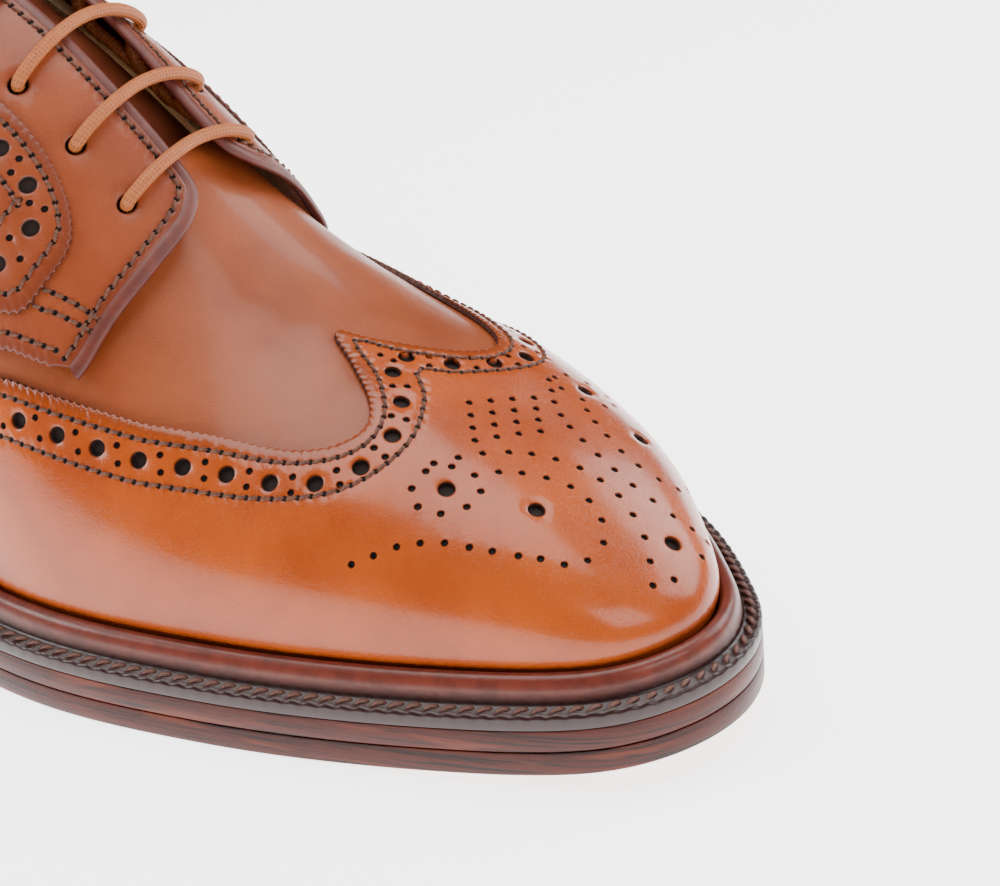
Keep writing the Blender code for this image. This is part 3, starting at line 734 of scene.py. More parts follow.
def punched_rings(ring, cut, pits, needles):
    """Flat rings of a sheet: points, drop, shade, and whether the mesh keeps the ring's own edges."""
    rings = []
    for k, loop in enumerate((ring, *cut)):
        inner = move_aside(loop, EDGE_ROUNDING if signed_area(loop) > 0 else -EDGE_ROUNDING, closed=True)
        rings += [(loop, -EDGE_DROP, 0.0, True), (2 * loop - inner if k else inner, 0.0, 0.0, False)]
    for centre, radius, depth in pits:
        floor_shade = LIT_FLOOR if radius > LIT_RADIUS else 1.0
        drops, shades = (0.0, LIP_DROP, -depth), (0.0, LIP_SHADE, floor_shade)
        for row in zip(hole_ring(centre, radius, PIT_SIDES, PIT_SHARES), drops, shades):
            rings.append((*row, True))
        rings.append((centre[None], -depth, floor_shade, False))
    for centre, radius, depth in needles:
        drops, shades = (0.0, NEEDLE_DROP), (0.0, NEEDLE_SHADE)
        for row in zip(hole_ring(centre, radius, NEEDLE_SIDES, NEEDLE_SHARES), drops, shades):
            rings.append((*row, True))
        rings.append((centre[None], -depth, 1.0, False))
    return rings


def fill_grid(solid, ring, cut, pits, step):
    """Even places of a sheet, clear of its edges and of its holes."""
    grid = lattice(ring, step)
    for loop in cut:
        grid = grid[~inside(grid, loop)]
    grid = grid[nearest(solid, grid) > GRID_CLEAR * step]
    if pits:
        widest = max(radius for _, radius, _ in pits)
        grid = grid[nearest([centre for centre, _, _ in pits], grid) > widest * PIT_SHARES[0]]
    return grid


def make_sheet(name, ring, lift, thickness, step, materials, slot, replaced, pits=(), needles=(), back=False,
               cut=()):
    """A leather sheet on the last: its cut edge, its punched holes, its needle holes and its thickness.

    ring is the closed flat outline, lift gives the height of the top face at flat places, pits and needles
    are rows of centre, radius and depth, back adds the underside, and cut holds rings of openings.
    """
    rings = punched_rings(ring, cut, pits, needles)
    fixed, start = [], 0
    for loop, _, _, keeps_edges in rings:
        if keeps_edges:
            fixed += [(start + i, start + (i + 1) % len(loop)) for i in range(len(loop))]
        start += len(loop)
    solid = np.vstack([row[0] for row in rings])
    grid = fill_grid(solid, ring, cut, pits, step)
    made = delaunay_2d_cdt([Vector(p) for p in np.vstack([solid, grid])], fixed, [], 1, WELD)
    found = np.array([tuple(v) for v in made[0]])
    source = np.array([(o[0] if o else -1) for o in made[3]])

    def told(place):
        """A value of the rings at each point of the finished mesh."""
        values = [np.full(len(row[0]), row[place]) for row in rings] + [np.zeros(len(grid))]
        return np.where(source >= 0, np.concatenate(values)[source], 0.0)

    drop, shade = told(1), told(2)
    centre = np.array([found[list(f)].mean(axis=0) for f in made[2]])
    keep = inside(centre, ring)
    for loop in cut:
        keep &= ~inside(centre, loop)
    faces = [tuple(f) for f, k in zip(made[2], keep) if k]
    edge_points = np.vstack([resample(loop, EDGE_STEP, True) for loop in (ring, *cut)])
    away = np.minimum(nearest(edge_points, found), EDGE_FADE)
    top = lift(found)
    count = len(found)
    border = dict.fromkeys(pair for f in faces for pair in zip(f, f[1:] + f[:1]))
    walls = [(b, a, a + count, b + count) for a, b in border if (b, a) not in border]
    under = [tuple(v + count for v in f[::-1]) for f in faces] if back else []
    every = faces + walls + under
    which = [0] * len(faces) + [1] * len(walls) + [2] * len(under)
    points = np.vstack([skin(found, top + drop), skin(found, top - thickness)])
    used = np.unique(np.concatenate([np.array(f) for f in every]))
    number = np.full(len(points), -1)
    number[used] = np.arange(len(used))
    every = [tuple(int(number[v]) for v in f) for f in every]
    # The pit attribute carries the shade painted into the holes, edge the distance to the cut edge.
    attributes = {"pit": np.concatenate([shade, np.zeros(count)])[used],
                  "edge": np.concatenate([away, np.zeros(count)])[used]}
    return add_piece(name, points[used], every, materials, slot, replaced, attributes, which)


def signed_area(ring):
    """Twice the area of a ring, positive when it turns left."""
    ahead = np.roll(ring, -1, axis=0)
    return float((ring[:, 0] * ahead[:, 1] - ahead[:, 0] * ring[:, 1]).sum())


def full_girth(side, share):
    """Girth of a rib from its foot to the ridge."""
    return at_row(TABLES[side][1], share)


def heel_share(reach):
    """Share of the outline at a distance round it from the middle of the heel."""
    return reach / HALF_LENGTH


def collar_girth(side, share):
    """Girth where a rib reaches the collar's height."""
    heights = spline(column(COLLAR_COLUMNS, COLLAR, "along"), column(COLLAR_COLUMNS, COLLAR, "height"),
                     np.minimum(along_of(share), COLLAR[-1][0]))
    result = []
    for s, height in zip(np.atleast_1d(share), np.atleast_1d(heights)):
        rib = at_row(TABLES[side][0].reshape(RIB_TABLE, -1), np.array([s])).reshape(-1, 3)
        girth = np.linspace(0, full_girth(side, np.array([s]))[0], RIB_SAMPLES)
        result.append(np.interp(height, rib[:, 2], girth))
    return np.array(result)


def mirror(places):
    """The same places on the inner side of the shoe."""
    _, share, girth = unfold(places)
    return flat("medial", share, girth / full_girth("lateral", share) * full_girth("medial", share))


SIDE_SAMPLES = 120
WALK_STEP = 0.4


def table_girth(table, station):
    """Girth at a station from a table of station and girth."""
    return np.interp(station, [row[0] for row in table], [row[1] for row in table])


def along_side(side, table, drop, first, last):
    """Flat line along one side at girths given by station, less a drop."""
    station = np.linspace(first, last, SIDE_SAMPLES)
    return flat(side, share_of(station), table_girth(table, station) - drop)


def walk(line, pitch):
    """Flat places evenly spaced on the leather itself along a flat line."""
    dense = resample(line, WALK_STEP)
    length = run_length(on_rib(dense))
    even = np.linspace(0, length[-1], max(2, int(round(length[-1] / pitch)) + 1))
    return np.stack([np.interp(even, length, dense[:, k]) for k in (0, 1)], -1)


GIMP_PITCH = 1.5
GIMP_DEPTH = 0.32
GIMP_SAMPLES = 6


def gimp(line):
    """A cut edge with a row of small teeth on its left."""
    fine = walk(line, GIMP_PITCH / GIMP_SAMPLES)
    phase = np.arange(len(fine)) / GIMP_SAMPLES
    return move_aside(fine, GIMP_DEPTH * np.abs(np.sin(math.pi * phase)))


def join(parts):
    """Several meshes of points and faces as one."""
    points, faces, start = [], [], 0
    for more_points, more_faces in parts:
        points.append(more_points)
        faces.extend(tuple(v + start for v in f) for f in more_faces)
        start += len(more_points)
    return np.vstack(points), faces


def tube_faces(rings, sides, first=0, closed=False):
    """Faces of a tube, capped at both ends unless it closes on itself."""
    faces = []
    for k in range(rings if closed else rings - 1):
        for i in range(sides):
            a, b = k * sides + i, k * sides + (i + 1) % sides
            c, d = (k + 1) % rings * sides + (i + 1) % sides, (k + 1) % rings * sides + i
            faces.append((first + a, first + b, first + c, first + d))
    if not closed:
        faces.append(tuple(first + i for i in range(sides))[::-1])
        faces.append(tuple(first + (rings - 1) * sides + i for i in range(sides)))
    return faces


THREAD_SIDES = 6
THREAD_STEPS = (0.08, 0.25, 0.5, 0.75, 0.92)
THREAD_RISE = (-0.3, 0.08, 0.18, 0.08, -0.3)
THREAD_WIDTH = (0.7, 1.0, 1.05, 1.0, 0.7)
THREAD_RADIUS = 0.31
THREAD_FLAT = 0.85
THREAD_SLANT = 0.22
THREAD_LONGEST = 4.0


def threads(holes, lift):
    """Short thread loops between neighbouring needle holes, slightly slanted."""
    solid = on_rib(holes)
    close = np.linalg.norm(np.diff(solid, axis=0), axis=1) < THREAD_LONGEST
    start, reach = holes[:-1][close], np.diff(holes, axis=0)[close]
    left = turn_left(unit(reach))
    steps = np.array(THREAD_STEPS)
    lean = (steps - 0.5) * 2 * THREAD_SLANT
    places = start[:, None] + reach[:, None] * steps[:, None] + left[:, None] * lean[:, None]
    shape = places.shape[:2]
    places = places.reshape(-1, 2)
    centre = skin(places, lift(places) + np.tile(THREAD_RISE, len(start))).reshape(*shape, 3)
    normal = facing(places)[0].reshape(*shape, 3)
    across = np.cross(normal, unit(centre[:, -1:] - centre[:, :1]))
    turn = np.linspace(0, 2 * math.pi, THREAD_SIDES, endpoint=False)
    width = THREAD_RADIUS * np.array(THREAD_WIDTH)[None, :, None, None]
    aside = across[:, :, None] * np.cos(turn)[:, None]
    rise = normal[:, :, None] * np.sin(turn)[:, None] * THREAD_FLAT
    points = (centre[:, :, None] + (aside + rise) * width).reshape(-1, 3)
    block = len(steps) * THREAD_SIDES
    faces = []
    for k in range(len(start)):
        faces += tube_faces(len(steps), THREAD_SIDES, k * block)
    return points, faces


def sweep(line, profile, lift):
    """A closed profile of (aside, height) rows carried along a flat line."""
    rings = []
    for aside, height in profile:
        moved = move_aside(line, aside)
        rings.append(skin(moved, lift(moved) + height))
    return np.stack(rings, 1).reshape(-1, 3), tube_faces(len(line), len(profile))


STITCHES = {"wing": [], "quarter": []}
NEEDLE = (0.46, 0.6)
STITCH_PITCH = 2.3


def needle_holes(rows):
    """Needle holes at the places of several rows."""
    return [(place, *NEEDLE) for row in rows for place in row]


def sew(kind, rows, lift):
    """Keep the threads of several rows for the mesh of one leather."""
    STITCHES[kind] += [threads(row, lift) for row in rows]


# Leather.
# Calf, dyed through and polished with cream and wax. Cut edges are burnished darker,
# Cut edges are burnished darker, punched holes and needle holes show a dark floor of painted shade, and fine
# grain breaks up the gloss.

GRAIN_SCALE = 1.5
PORE_SCALE = 2.2
MOTTLE_SCALE = 0.045
RUB_SCALE = MOTTLE_SCALE * 5
CREASE_SCALE = 0.22
BURNISH_WIDTH = 3.2
BURNISH = 0.55
GRAIN_RELIEF = 0.05
GRAIN_STRENGTH = 0.8
# Painted shade in punched holes: a dark tone for lips and big floors, near black for small holes and needle
# holes.
PAINTED_PIT_SHADOW = (0.012, 0.007, 0.006)
PAINTED_PIT_SHADE = (0.014, 0.007, 0.005)


def leather(name, pale, deep, rim, roughness, coat):
    """Polished leather between a pale and a deep tone, with burnished edges and painted shade in its holes.
    """
    made, shader, place = material(name, Coat_Roughness=0.12, Specular_IOR_Level=0.24)
    mottle = place.noise(MOTTLE_SCALE, 4.0, 0.6).clamp(0.25, 0.85)
    fine = place.noise(GRAIN_SCALE, 4.0, 0.6)
    rub = place.noise(RUB_SCALE, 3.0, 0.6).clamp(0.4, 0.75)
    colour = mottle.mix(pale, deep)
    near_edge = place.attribute("edge").clamp(0.0, BURNISH_WIDTH, 1.0, 0.0)
    colour = (near_edge * BURNISH).mix(colour, rim)
    colour = (fine.clamp(0.55, 0.85) * 0.25).mix(colour, deep)
    # The pit attribute paints shade into the holes: their lips and floors turn dark, small ones near black.
    pit = place.attribute("pit")
    colour = pit.clamp(0.05, 0.5).mix(colour, PAINTED_PIT_SHADE)
    colour = pit.clamp(0.62, 0.95).mix(colour, PAINTED_PIT_SHADOW)
    dull = pit.clamp(0.2, 0.6) * 0.5
    gloss = rub * 0.08 + fine * 0.1 + roughness + dull - 0.05
    feed(shader, Base_Color=colour, Roughness=gloss, Coat_Weight=pit.clamp(0.1, 0.5, coat, 0.0))
    pores = place.cells(PORE_SCALE).clamp(0.0, 0.5) * 0.6
    creases = place.noise(CREASE_SCALE, 3.0) * 1.6
    raise_bump(shader, fine + pores + creases, GRAIN_RELIEF, GRAIN_STRENGTH)
    return made


def plain(name, first, second, roughness, scale, relief):
    """A matt or satin material mottled between two tones."""
    made, shader, place = material(name)
    mottle = place.noise(scale, 4.0, 0.6)
    feed(shader, Base_Color=mottle.clamp(0.35, 0.65).mix(first, second), Roughness=mottle * 0.15 + roughness)
    raise_bump(shader, place.noise(scale * 3, 4.0), relief)
    return made


WING_LEATHER = leather("wing_calf", (0.4, 0.07, 0.008), (0.26, 0.038, 0.005), (0.07, 0.012, 0.004), 0.22,
                       0.26)
VAMP_LEATHER = leather("vamp_calf", (0.27, 0.06, 0.017), (0.18, 0.034, 0.009), (0.07, 0.012, 0.005), 0.38,
                       0.14)
QUARTER_LEATHER = leather("quarter_calf", (0.26, 0.055, 0.017), (0.17, 0.03, 0.009), (0.06, 0.009, 0.005),
                          0.36, 0.14)
EDGE_LEATHER = plain("cut_edge", (0.07, 0.013, 0.006), (0.035, 0.007, 0.004), 0.6, 0.8, 0.05)
BEAD_LEATHER = plain("rolled_edge", (0.11, 0.016, 0.007), (0.08, 0.011, 0.005), 0.42, 0.3, 0.02)
SUEDE = plain("raw_suede", (0.5, 0.2, 0.06), (0.36, 0.13, 0.04), 0.85, 1.5, 0.15)
LINING = plain("lining_calf", (0.55, 0.36, 0.2), (0.46, 0.29, 0.15), 0.6, 0.3, 0.05)
THREAD = plain("sewing_thread", (0.12, 0.036, 0.014), (0.06, 0.016, 0.007), 0.6, 1.2, 0.05)


# Wing.
# One long overlay of caramel calf: a peak over the toe, two long sides back to the heel.
# Its top edge is toothed, sewn by two rows, with big and small holes punched between them.

WING_TABLE = ((-4.0, 27.5), (60.0, 35.0), (120.0, 43.5), (150.0, 46.5), (168.4, 47.8), (182.9, 45.8),
              (197.0, 44.2), (219.0, 43.8), (240.0, 44.2))
WING_SIDE_END = 212.0
WING_FOOT = 5.5
WING_LIFT = 1.3
WING_BEHIND_WELT = 0.1
WING_TUCK = (6.0, 3.2)
STRIP_REACH = 9.0
ROW_ONE_DROP = 2.5
ROW_TWO_DROP = 9.6
BAND_DROP = 5.9
BIG_HOLE = (1.5, 1.15)
SMALL_HOLE = (0.58, 0.6)
HOLE_PITCH = 8.0
PAIR_SPREAD = 1.35
WING_PEAK_EDGE = ((222.4, -26.6), (226.0, -23.8), (228.2, -20.6), (228.8, -17.2), (227.4, -14.0),
                  (224.4, -10.8), (219.6, -7.4), (214.8, -4.4), (210.4, -1.2), (213.6, 1.0), (217.8, 3.6),
                  (223.4, 7.2), (228.2, 11.4), (230.8, 15.8), (230.8, 20.4), (227.6, 24.4), (222.6, 27.6))
PEAK_ROW_ONE = ((224.6, -27.8), (228.4, -24.6), (230.6, -21.2), (231.0, -17.0), (229.4, -12.8), (225.8, -8.6),
                (220.8, -4.8), (214.2, -0.6), (219.2, 2.0), (224.6, 5.2), (229.8, 9.6), (233.0, 15.2),
                (233.0, 21.0), (229.8, 25.6), (224.6, 28.8))
PEAK_BAND = ((227.4, -30.4), (231.4, -26.4), (233.6, -21.6), (233.6, -16.4), (231.2, -10.6), (227.0, -5.0),
             (221.0, 0.4), (227.0, 4.6), (232.2, 10.6), (235.2, 17.0), (235.6, 23.0), (232.4, 28.4),
             (227.4, 32.0))
PEAK_ROW_TWO = ((226.6, -33.6), (231.6, -29.6), (235.0, -24.6), (236.6, -19.0), (236.2, -13.2), (233.8, -7.4),
                (230.4, -2.6), (227.0, 0.8), (230.0, 3.8), (233.8, 8.6), (236.8, 14.6), (238.2, 20.4),
                (237.4, 26.0), (233.4, 31.2), (227.6, 35.2))
AXIS_ALONG = (208.0, 225.0, 238.2, 251.0, 265.0, 281.4, 290.0)
AXIS_ASIDE = (-1.5, 0.2, 0.8, 4.2, 5.2, 1.6, -2.0)
DIAMOND = ((238.3, 0.0), (2.1, 3.3), (2.1, -3.0), 4)
MEDALLION_BIG = ((247.4, 22.4), (247.4, -22.4), (261.6, 17.8), (261.6, -17.8), (281.4, 0.0))
MEDALLION_ARCS = (
    (242.6, 18.2), (245.0, 14.9), (247.4, 11.5), (250.4, 8.4), (253.4, 6.2), (257.0, 4.4), (261.0, 3.0),
    (265.0, 2.4), (269.2, 2.4), (273.4, 3.4), (277.6, 5.0), (281.2, 7.5), (284.3, 10.0), (286.0, 5.0),
    (252.0, 14.4), (255.0, 12.0), (258.6, 10.0), (262.6, 8.5), (266.6, 8.4), (270.6, 9.9), (273.6, 13.3),
    (240.6, 39.6), (243.4, 37.2), (246.2, 34.8), (249.4, 33.1), (253.0, 31.7), (257.0, 30.6),
    (260.6, 29.2), (264.6, 27.2), (267.8, 25.0), (271.4, 22.6), (273.8, 18.5),
)
CIRCLE_HOLES = 8
CIRCLE_RADIUS = 5.3
HOLE_CLEAR = 0.5
LINE_STEP = 0.6
FOOT_STEP = 1.2
FOOT_SAMPLES = 400
WING_STEP = 1.5
WING_THICKNESS = 1.1


STRIP_STATION = along_of(np.array([heel_share(STRIP_REACH)]))[0]


def wing_line(peak, drop):
    """A line that follows the wing: up one side, round the peak and back along the other."""
    near = along_side("lateral", WING_TABLE, drop, STRIP_STATION, WING_SIDE_END)
    far = along_side("medial", WING_TABLE, drop, STRIP_STATION, WING_SIDE_END)[::-1]
    front = curve_through(np.vstack([near[-2:], peak, far[:2]]), LINE_STEP)
    return resample(np.vstack([near[:-2], front, far[2:]]), LINE_STEP)


def wing_lift(places):
    """Height of the wing's face: it tucks in behind the welt's ridge."""
    girth = unfold(places)[2]
    start, reach = WING_TUCK
    return WING_BEHIND_WELT + (WING_LIFT - WING_BEHIND_WELT) * smooth((girth - start) / reach)


def foot_line(girth, reach=0.0):
    """Flat line round the shoe's foot, from the outer side of the heel by the toe to the inner side."""
    shares = np.linspace(heel_share(reach), 1.0, FOOT_SAMPLES)
    return np.vstack([flat("lateral", shares, girth), flat("medial", shares[::-1], girth)[1:]])


def band_holes(line, big, small):
    """Big holes along a line and a pair of small ones between each two."""
    places = walk(line, HOLE_PITCH / 2)
    left, right = move_aside(places, PAIR_SPREAD), move_aside(places, -PAIR_SPREAD)
    pits = []
    for k, place in enumerate(places[1:-1], 1):
        if k % 2:
            pits.append((place, *big))
        else:
            pits += [(left[k], *small), (right[k], *small)]
    return pits


def on_axis(along, aside):
    """Flat place of the medallion at a distance from its curved middle line."""
    return np.array([along, float(spline(AXIS_ALONG, AXIS_ASIDE, along)) + aside])


def medallion():
    """The punched figure on the toe: a diamond, scrolls, sweeps and ringed big holes."""
    pits = [(on_axis(*place), *BIG_HOLE) for place in MEDALLION_BIG]
    (along, aside), first, second, count = DIAMOND
    small = [(along + first[0] * i + second[0] * j, aside + first[1] * i + second[1] * j)
             for i in range(count) for j in range(count)]
    for along, aside in MEDALLION_ARCS:
        small += [(along, aside), (along, -aside)]
    for side in (1, -1):
        for k in range(CIRCLE_HOLES):
            turn = 2 * math.pi * (k + 0.5) / CIRCLE_HOLES
            small.append((MEDALLION_BIG[0][0] + CIRCLE_RADIUS * math.cos(turn),
                          side * MEDALLION_BIG[0][1] + CIRCLE_RADIUS * math.sin(turn)))
    pits += [(on_axis(*place), *SMALL_HOLE) for place in small]
    return [p for k, p in enumerate(pits)
            if all(np.linalg.norm(p[0] - q[0]) - q[1] - p[1] > HOLE_CLEAR for q in pits[:k])]


def make_wing():
    """The wing overlay and its threads."""
    top = gimp(wing_line(WING_PEAK_EDGE, 0.0))
    foot = resample(foot_line(WING_FOOT, STRIP_REACH), FOOT_STEP)
    rows = [walk(wing_line(PEAK_ROW_ONE, ROW_ONE_DROP), STITCH_PITCH),
            walk(wing_line(PEAK_ROW_TWO, ROW_TWO_DROP), STITCH_PITCH)]
    pits = band_holes(wing_line(PEAK_BAND, BAND_DROP), BIG_HOLE, SMALL_HOLE) + medallion()
    make_sheet("wing", np.vstack([foot, top[::-1]]), wing_lift, WING_THICKNESS, WING_STEP,
               [WING_LEATHER, EDGE_LEATHER], "wing_leather", ("longwing",), pits,
               needle_holes(row[1:-1] for row in rows))
    sew("wing", rows, wing_lift)


make_wing()


# Vamp and lining.
# The lasted upper under the overlays: pinkish brown calf outside, tan calf lining inside.
# It is nearly new, so only faint soft folds cross it behind the wing's peak.

VAMP_FOOT = 3.0
VAMP_STEP = 2.3
THROAT_CLEAR = 17.0
THROAT_NOSE = 10.0
COLLAR_SAMPLES = 90
COLLAR_END = 121.0
COLLAR_SINK = 1.0
THROAT_START = 126.0
THROAT_STATIONS = 30
NOSE_POINTS = 16
THROAT_STEP = 1.2
VAMP_FOOT_STEP = 1.6
FOLD_FADE = 0.02
# Each fold: its start, end, width and height.
FOLDS = (
    ((196.0, -14.0), (199.0, 10.0), 2.6, -0.28),
    ((203.0, -20.0), (206.0, 4.0), 3.0, -0.22),
    ((190.0, -26.0), (196.0, -40.0), 3.4, -0.2),
    ((207.0, -10.0), (210.0, 12.0), 3.6, 0.18),
    ((192.0, 18.0), (198.0, 36.0), 3.4, -0.25),
)


def collar_line(side, drop=0.0, last=COLLAR_END):
    """Flat line of the collar's edge from the heel forward."""
    shares = np.linspace(0.0, share_of(last), COLLAR_SAMPLES)
    return flat(side, shares, collar_girth(side, shares) - drop)


def vamp_lift(places):
    """Soft folds of the vamp."""
    lift = np.zeros(len(places))
    for start, end, width, height in FOLDS:
        start, end = np.array(start), np.array(end)
        reach = end - start
        part = np.clip(((places - start) @ reach) / (reach @ reach), 0, 1)
        away = np.linalg.norm(places - start - part[:, None] * reach, axis=1)
        fade = np.sin(math.pi * np.clip(part, FOLD_FADE, 1 - FOLD_FADE))
        lift += height * np.exp(-(away / width) ** 2) * fade
    return lift


def throat_ring():
    """Flat ring of the collar and of the throat's opening under the facings."""
    halves = []
    for side in SIDES:
        collar = collar_line(side, COLLAR_SINK)
        shares = share_of(np.linspace(THROAT_START, THROAT_FRONT - THROAT_ROUND, THROAT_STATIONS))
        halves.append(np.vstack([collar, from_top(side, shares, THROAT_CLEAR)]))
    turn = np.linspace(-1, 1, NOSE_POINTS)[1:-1]
    start, end = halves[0][-1], halves[1][-1]
    middle = (start + end) / 2
    nose = middle + (end - start) / 2 * turn[:, None]
    nose[:, 0] += (THROAT_ROUND - THROAT_NOSE) * np.sqrt(1 - turn ** 2)
    ring = np.vstack([halves[0], nose, halves[1][::-1][:-1]])
    return resample(ring, THROAT_STEP, True)


def make_vamp():
    """Vamp and lining in one hollow piece."""
    ring = resample(foot_line(VAMP_FOOT)[:-1], VAMP_FOOT_STEP, True)
    make_sheet("vamp", ring, vamp_lift, WALL, VAMP_STEP, [VAMP_LEATHER, LINING, LINING], "vamp_leather",
               ("upper",), back=True, cut=[throat_ring()])


make_vamp()


# Quarters.
# Two sides of pinkish calf that meet over the tongue. A rolled edge runs along the collar,
# the facing and the front; the foot is toothed, and a punched stay is sewn on behind the eyelets.

QUARTER_TABLE = ((-4.0, 31.5), (60.0, 39.5), (120.0, 48.0), (150.0, 52.0), (167.9, 53.6), (176.4, 51.9),
                 (190.0, 50.0))
QUARTER_FOOT_END = 176.6
QUARTER_FRONT = ((180.5, -42.4), (181.3, -39.6), (182.2, -33.6), (183.0, -28.0), (183.8, -22.4),
                 (184.2, -16.8), (184.2, -12.0), (183.8, -8.8), (182.6, -5.6), (180.8, -3.4), (178.0, -2.6),
                 (173.4, -2.3))
FACING_GAP = 4.4
FACING_BACK = 126.0
FACING_END = 165.0
CUT_INSET = 2.0
QUARTER_THICKNESS = 1.6
QUARTER_FIT = 1.1
FACING_STANDOFF = 3.0
FACING_START = 118.0
HEEL_THIN = (1.3, 8.0, 60.0)
HEEL_BODY = (0.35, 0.65, 0.2)
# Section of the rolled edge: distance inward and height.
BEAD = ((2.7, -1.3), (2.7, -0.5), (2.1, -0.12), (1.3, 0.0), (0.65, -0.12), (0.15, -0.5), (0.0, -1.0),
        (0.4, -1.5))
BEAD_STEP = 0.8
QUARTER_STEP = 1.9
FACING_SAMPLES = 24
THINNED = 4
FRONT_ROW_INSET = 3.3
FOOT_ROW_RISE = 2.6
FIRST_EYELET = 176.5
EYELET_STEP = 10.6
EYELET_PAIRS = 5
EYELET_ASIDE = {"lateral": 17.0, "medial": 11.5}
EYELET_RADIUS = 1.7
STAY_LIFT = 0.9
STAY_SINK = 0.1
STAY_BIG = (1.5, 0.7)
STAY_SMALL = (0.58, 0.5)
STAY_EDGE = ((140.0, -21.2), (150.0, -20.4), (158.0, -19.8), (164.0, -20.4), (169.0, -22.6), (171.8, -26.2),
             (171.9, -30.2), (170.6, -36.0), (169.0, -41.4))
STAY_TABLE = ((-4.0, 37.0), (60.0, 44.6), (95.0, 49.0), (120.0, 54.4), (150.0, 59.4), (160.0, 60.6))
STAY_BACK = (127.0, 136.0)
STAY_ASIDE = 22.5
STAY_END = 158.0
STAY_TOP_INSET = 2.4
STAY_TOP_END = 112.0
STAY_BACK_POINTS = 4
STAY_THINNED = 6
STAY_ROW_ONE = 2.4
STAY_ROW_TWO = 9.4
STAY_CLEAR = 1.2
STAY_STEP = 0.6
EYELET_DEPTH = 1.5
COLLAR_FRONT = 119.0
BAR = ((182.4, -31.6), (178.2, -32.4), (174.2, -34.0), (170.8, -35.9), (168.6, -38.2), (168.2, -39.9),
       (169.8, -39.6), (173.0, -37.5), (177.8, -35.2), (182.0, -33.6))
FRONT_SMOOTH = 0.5
COLLAR_SKIP = 6
MEDIAL_FRONT_SHIFT = np.array([3.5, 0.0])


def facing_line(side, aside):
    """Flat line beside the gap, at a distance from the ridge."""
    return from_top(side, share_of(np.linspace(FACING_BACK, FACING_END, FACING_SAMPLES)), aside)


def quarter_edge(side):
    """Outer edge of a quarter: collar, facing, rounded corner and front down to its foot."""
    front = np.array(QUARTER_FRONT[::-1])
    if side == "medial":
        front = mirror(front) - MEDIAL_FRONT_SHIFT
    collar = collar_line(side, 0.0, COLLAR_FRONT)[COLLAR_SKIP:]
    line = np.vstack([collar[::THINNED], facing_line(side, FACING_GAP)[::THINNED], front])
    return curve_through(line, FRONT_SMOOTH)


def quarter_lift(places):
    """Height of a quarter's face: thin at the heel, standing off the vamp at the facing."""
    _, share, girth = unfold(places)
    station = along_of(share)
    full = np.where(is_lateral(places), full_girth("lateral", share), full_girth("medial", share))
    foot = table_girth(QUARTER_TABLE, station)
    up = (girth - foot) / np.maximum(full - FACING_GAP - foot, 1.0)
    facing_share = smooth((station - FACING_START) / (THROAT_FRONT - FACING_START))
    stand = QUARTER_FIT + FACING_STANDOFF * facing_share * smooth(up)
    least, start, end = HEEL_THIN
    thin = smooth((station - start) / (end - start))
    low, gain, floor = HEEL_BODY
    return least + (stand + QUARTER_THICKNESS - least) * (low + gain * thin) * np.maximum(thin, floor)


def stay_lift(places):
    """Height of the punched stay on the quarter."""
    return quarter_lift(places) + STAY_LIFT


def sided(side, places):
    """Flat places given for the outer side, or their mirror."""
    return np.array(places) if side == "lateral" else mirror(np.array(places))


def quarter_foot(side, drop=0.0):
    """Toothed foot of a quarter from the heel to its front corner."""
    return along_side(side, QUARTER_TABLE, drop, STRIP_STATION, QUARTER_FOOT_END)


def row_place(side, number, aside):
    """Flat place at a distance from the ridge on an eyelet row's rib, rows counted from the front."""
    share = share_of(FIRST_EYELET - EYELET_STEP * number)
    return from_top(side, np.array([share]), aside)


def side_gimp(side, line):
    """Teeth on the outer side of a line that runs from the heel forward or down, for either side."""
    return gimp(line) if side == "medial" else gimp(line[::-1])[::-1]


def inward(side, line, distance):
    """A line moved into the leather."""
    return move_aside(line, -distance if side == "lateral" else distance)


def inside_rows(rows, ring):
    """The needle places of each row that lie inside a ring."""
    return [row[inside(row, ring)] for row in rows]


def stay_line(side):
    """Top of a stay along the collar, and its edge from there round to the heel strip."""
    low = along_side(side, STAY_TABLE, 0.0, STRIP_STATION, STAY_END)[::-1]
    high = from_top(side, share_of(np.linspace(*STAY_BACK, STAY_BACK_POINTS)), STAY_ASIDE)
    top = collar_line(side, STAY_TOP_INSET, STAY_TOP_END)[COLLAR_SKIP:]
    line = np.vstack([top[-2:], high, sided(side, STAY_EDGE), low[::STAY_THINNED]])
    return top, curve_through(line, STAY_STEP)[3:]


def make_quarter(side, outer):
    """One quarter with its eyelets and its needle holes, except those that the stay covers."""
    foot = side_gimp(side, quarter_foot(side))
    ring = np.vstack([inward(side, outer, CUT_INSET), foot[::-1]])
    lines = (inward(side, outer, FRONT_ROW_INSET), quarter_foot(side, -FOOT_ROW_RISE),
             curve_through(sided(side, BAR), FRONT_SMOOTH))
    rows = inside_rows([walk(line, STITCH_PITCH) for line in lines], ring)
    needles = needle_holes(rows)
    far = nearest(stay_line(side)[1], [place for place, _, _ in needles]) > STAY_CLEAR
    eyelets = [(row_place(side, number, EYELET_ASIDE[side])[0], EYELET_RADIUS, EYELET_DEPTH)
               for number in range(EYELET_PAIRS)]
    make_sheet("side_" + side, ring, quarter_lift, QUARTER_THICKNESS, QUARTER_STEP,
               [QUARTER_LEATHER, EDGE_LEATHER, SUEDE], "quarter_leather", ("quarter_" + side,), eyelets,
               [needle for needle, clear in zip(needles, far) if clear], back=True)
    sew("quarter", rows, quarter_lift)


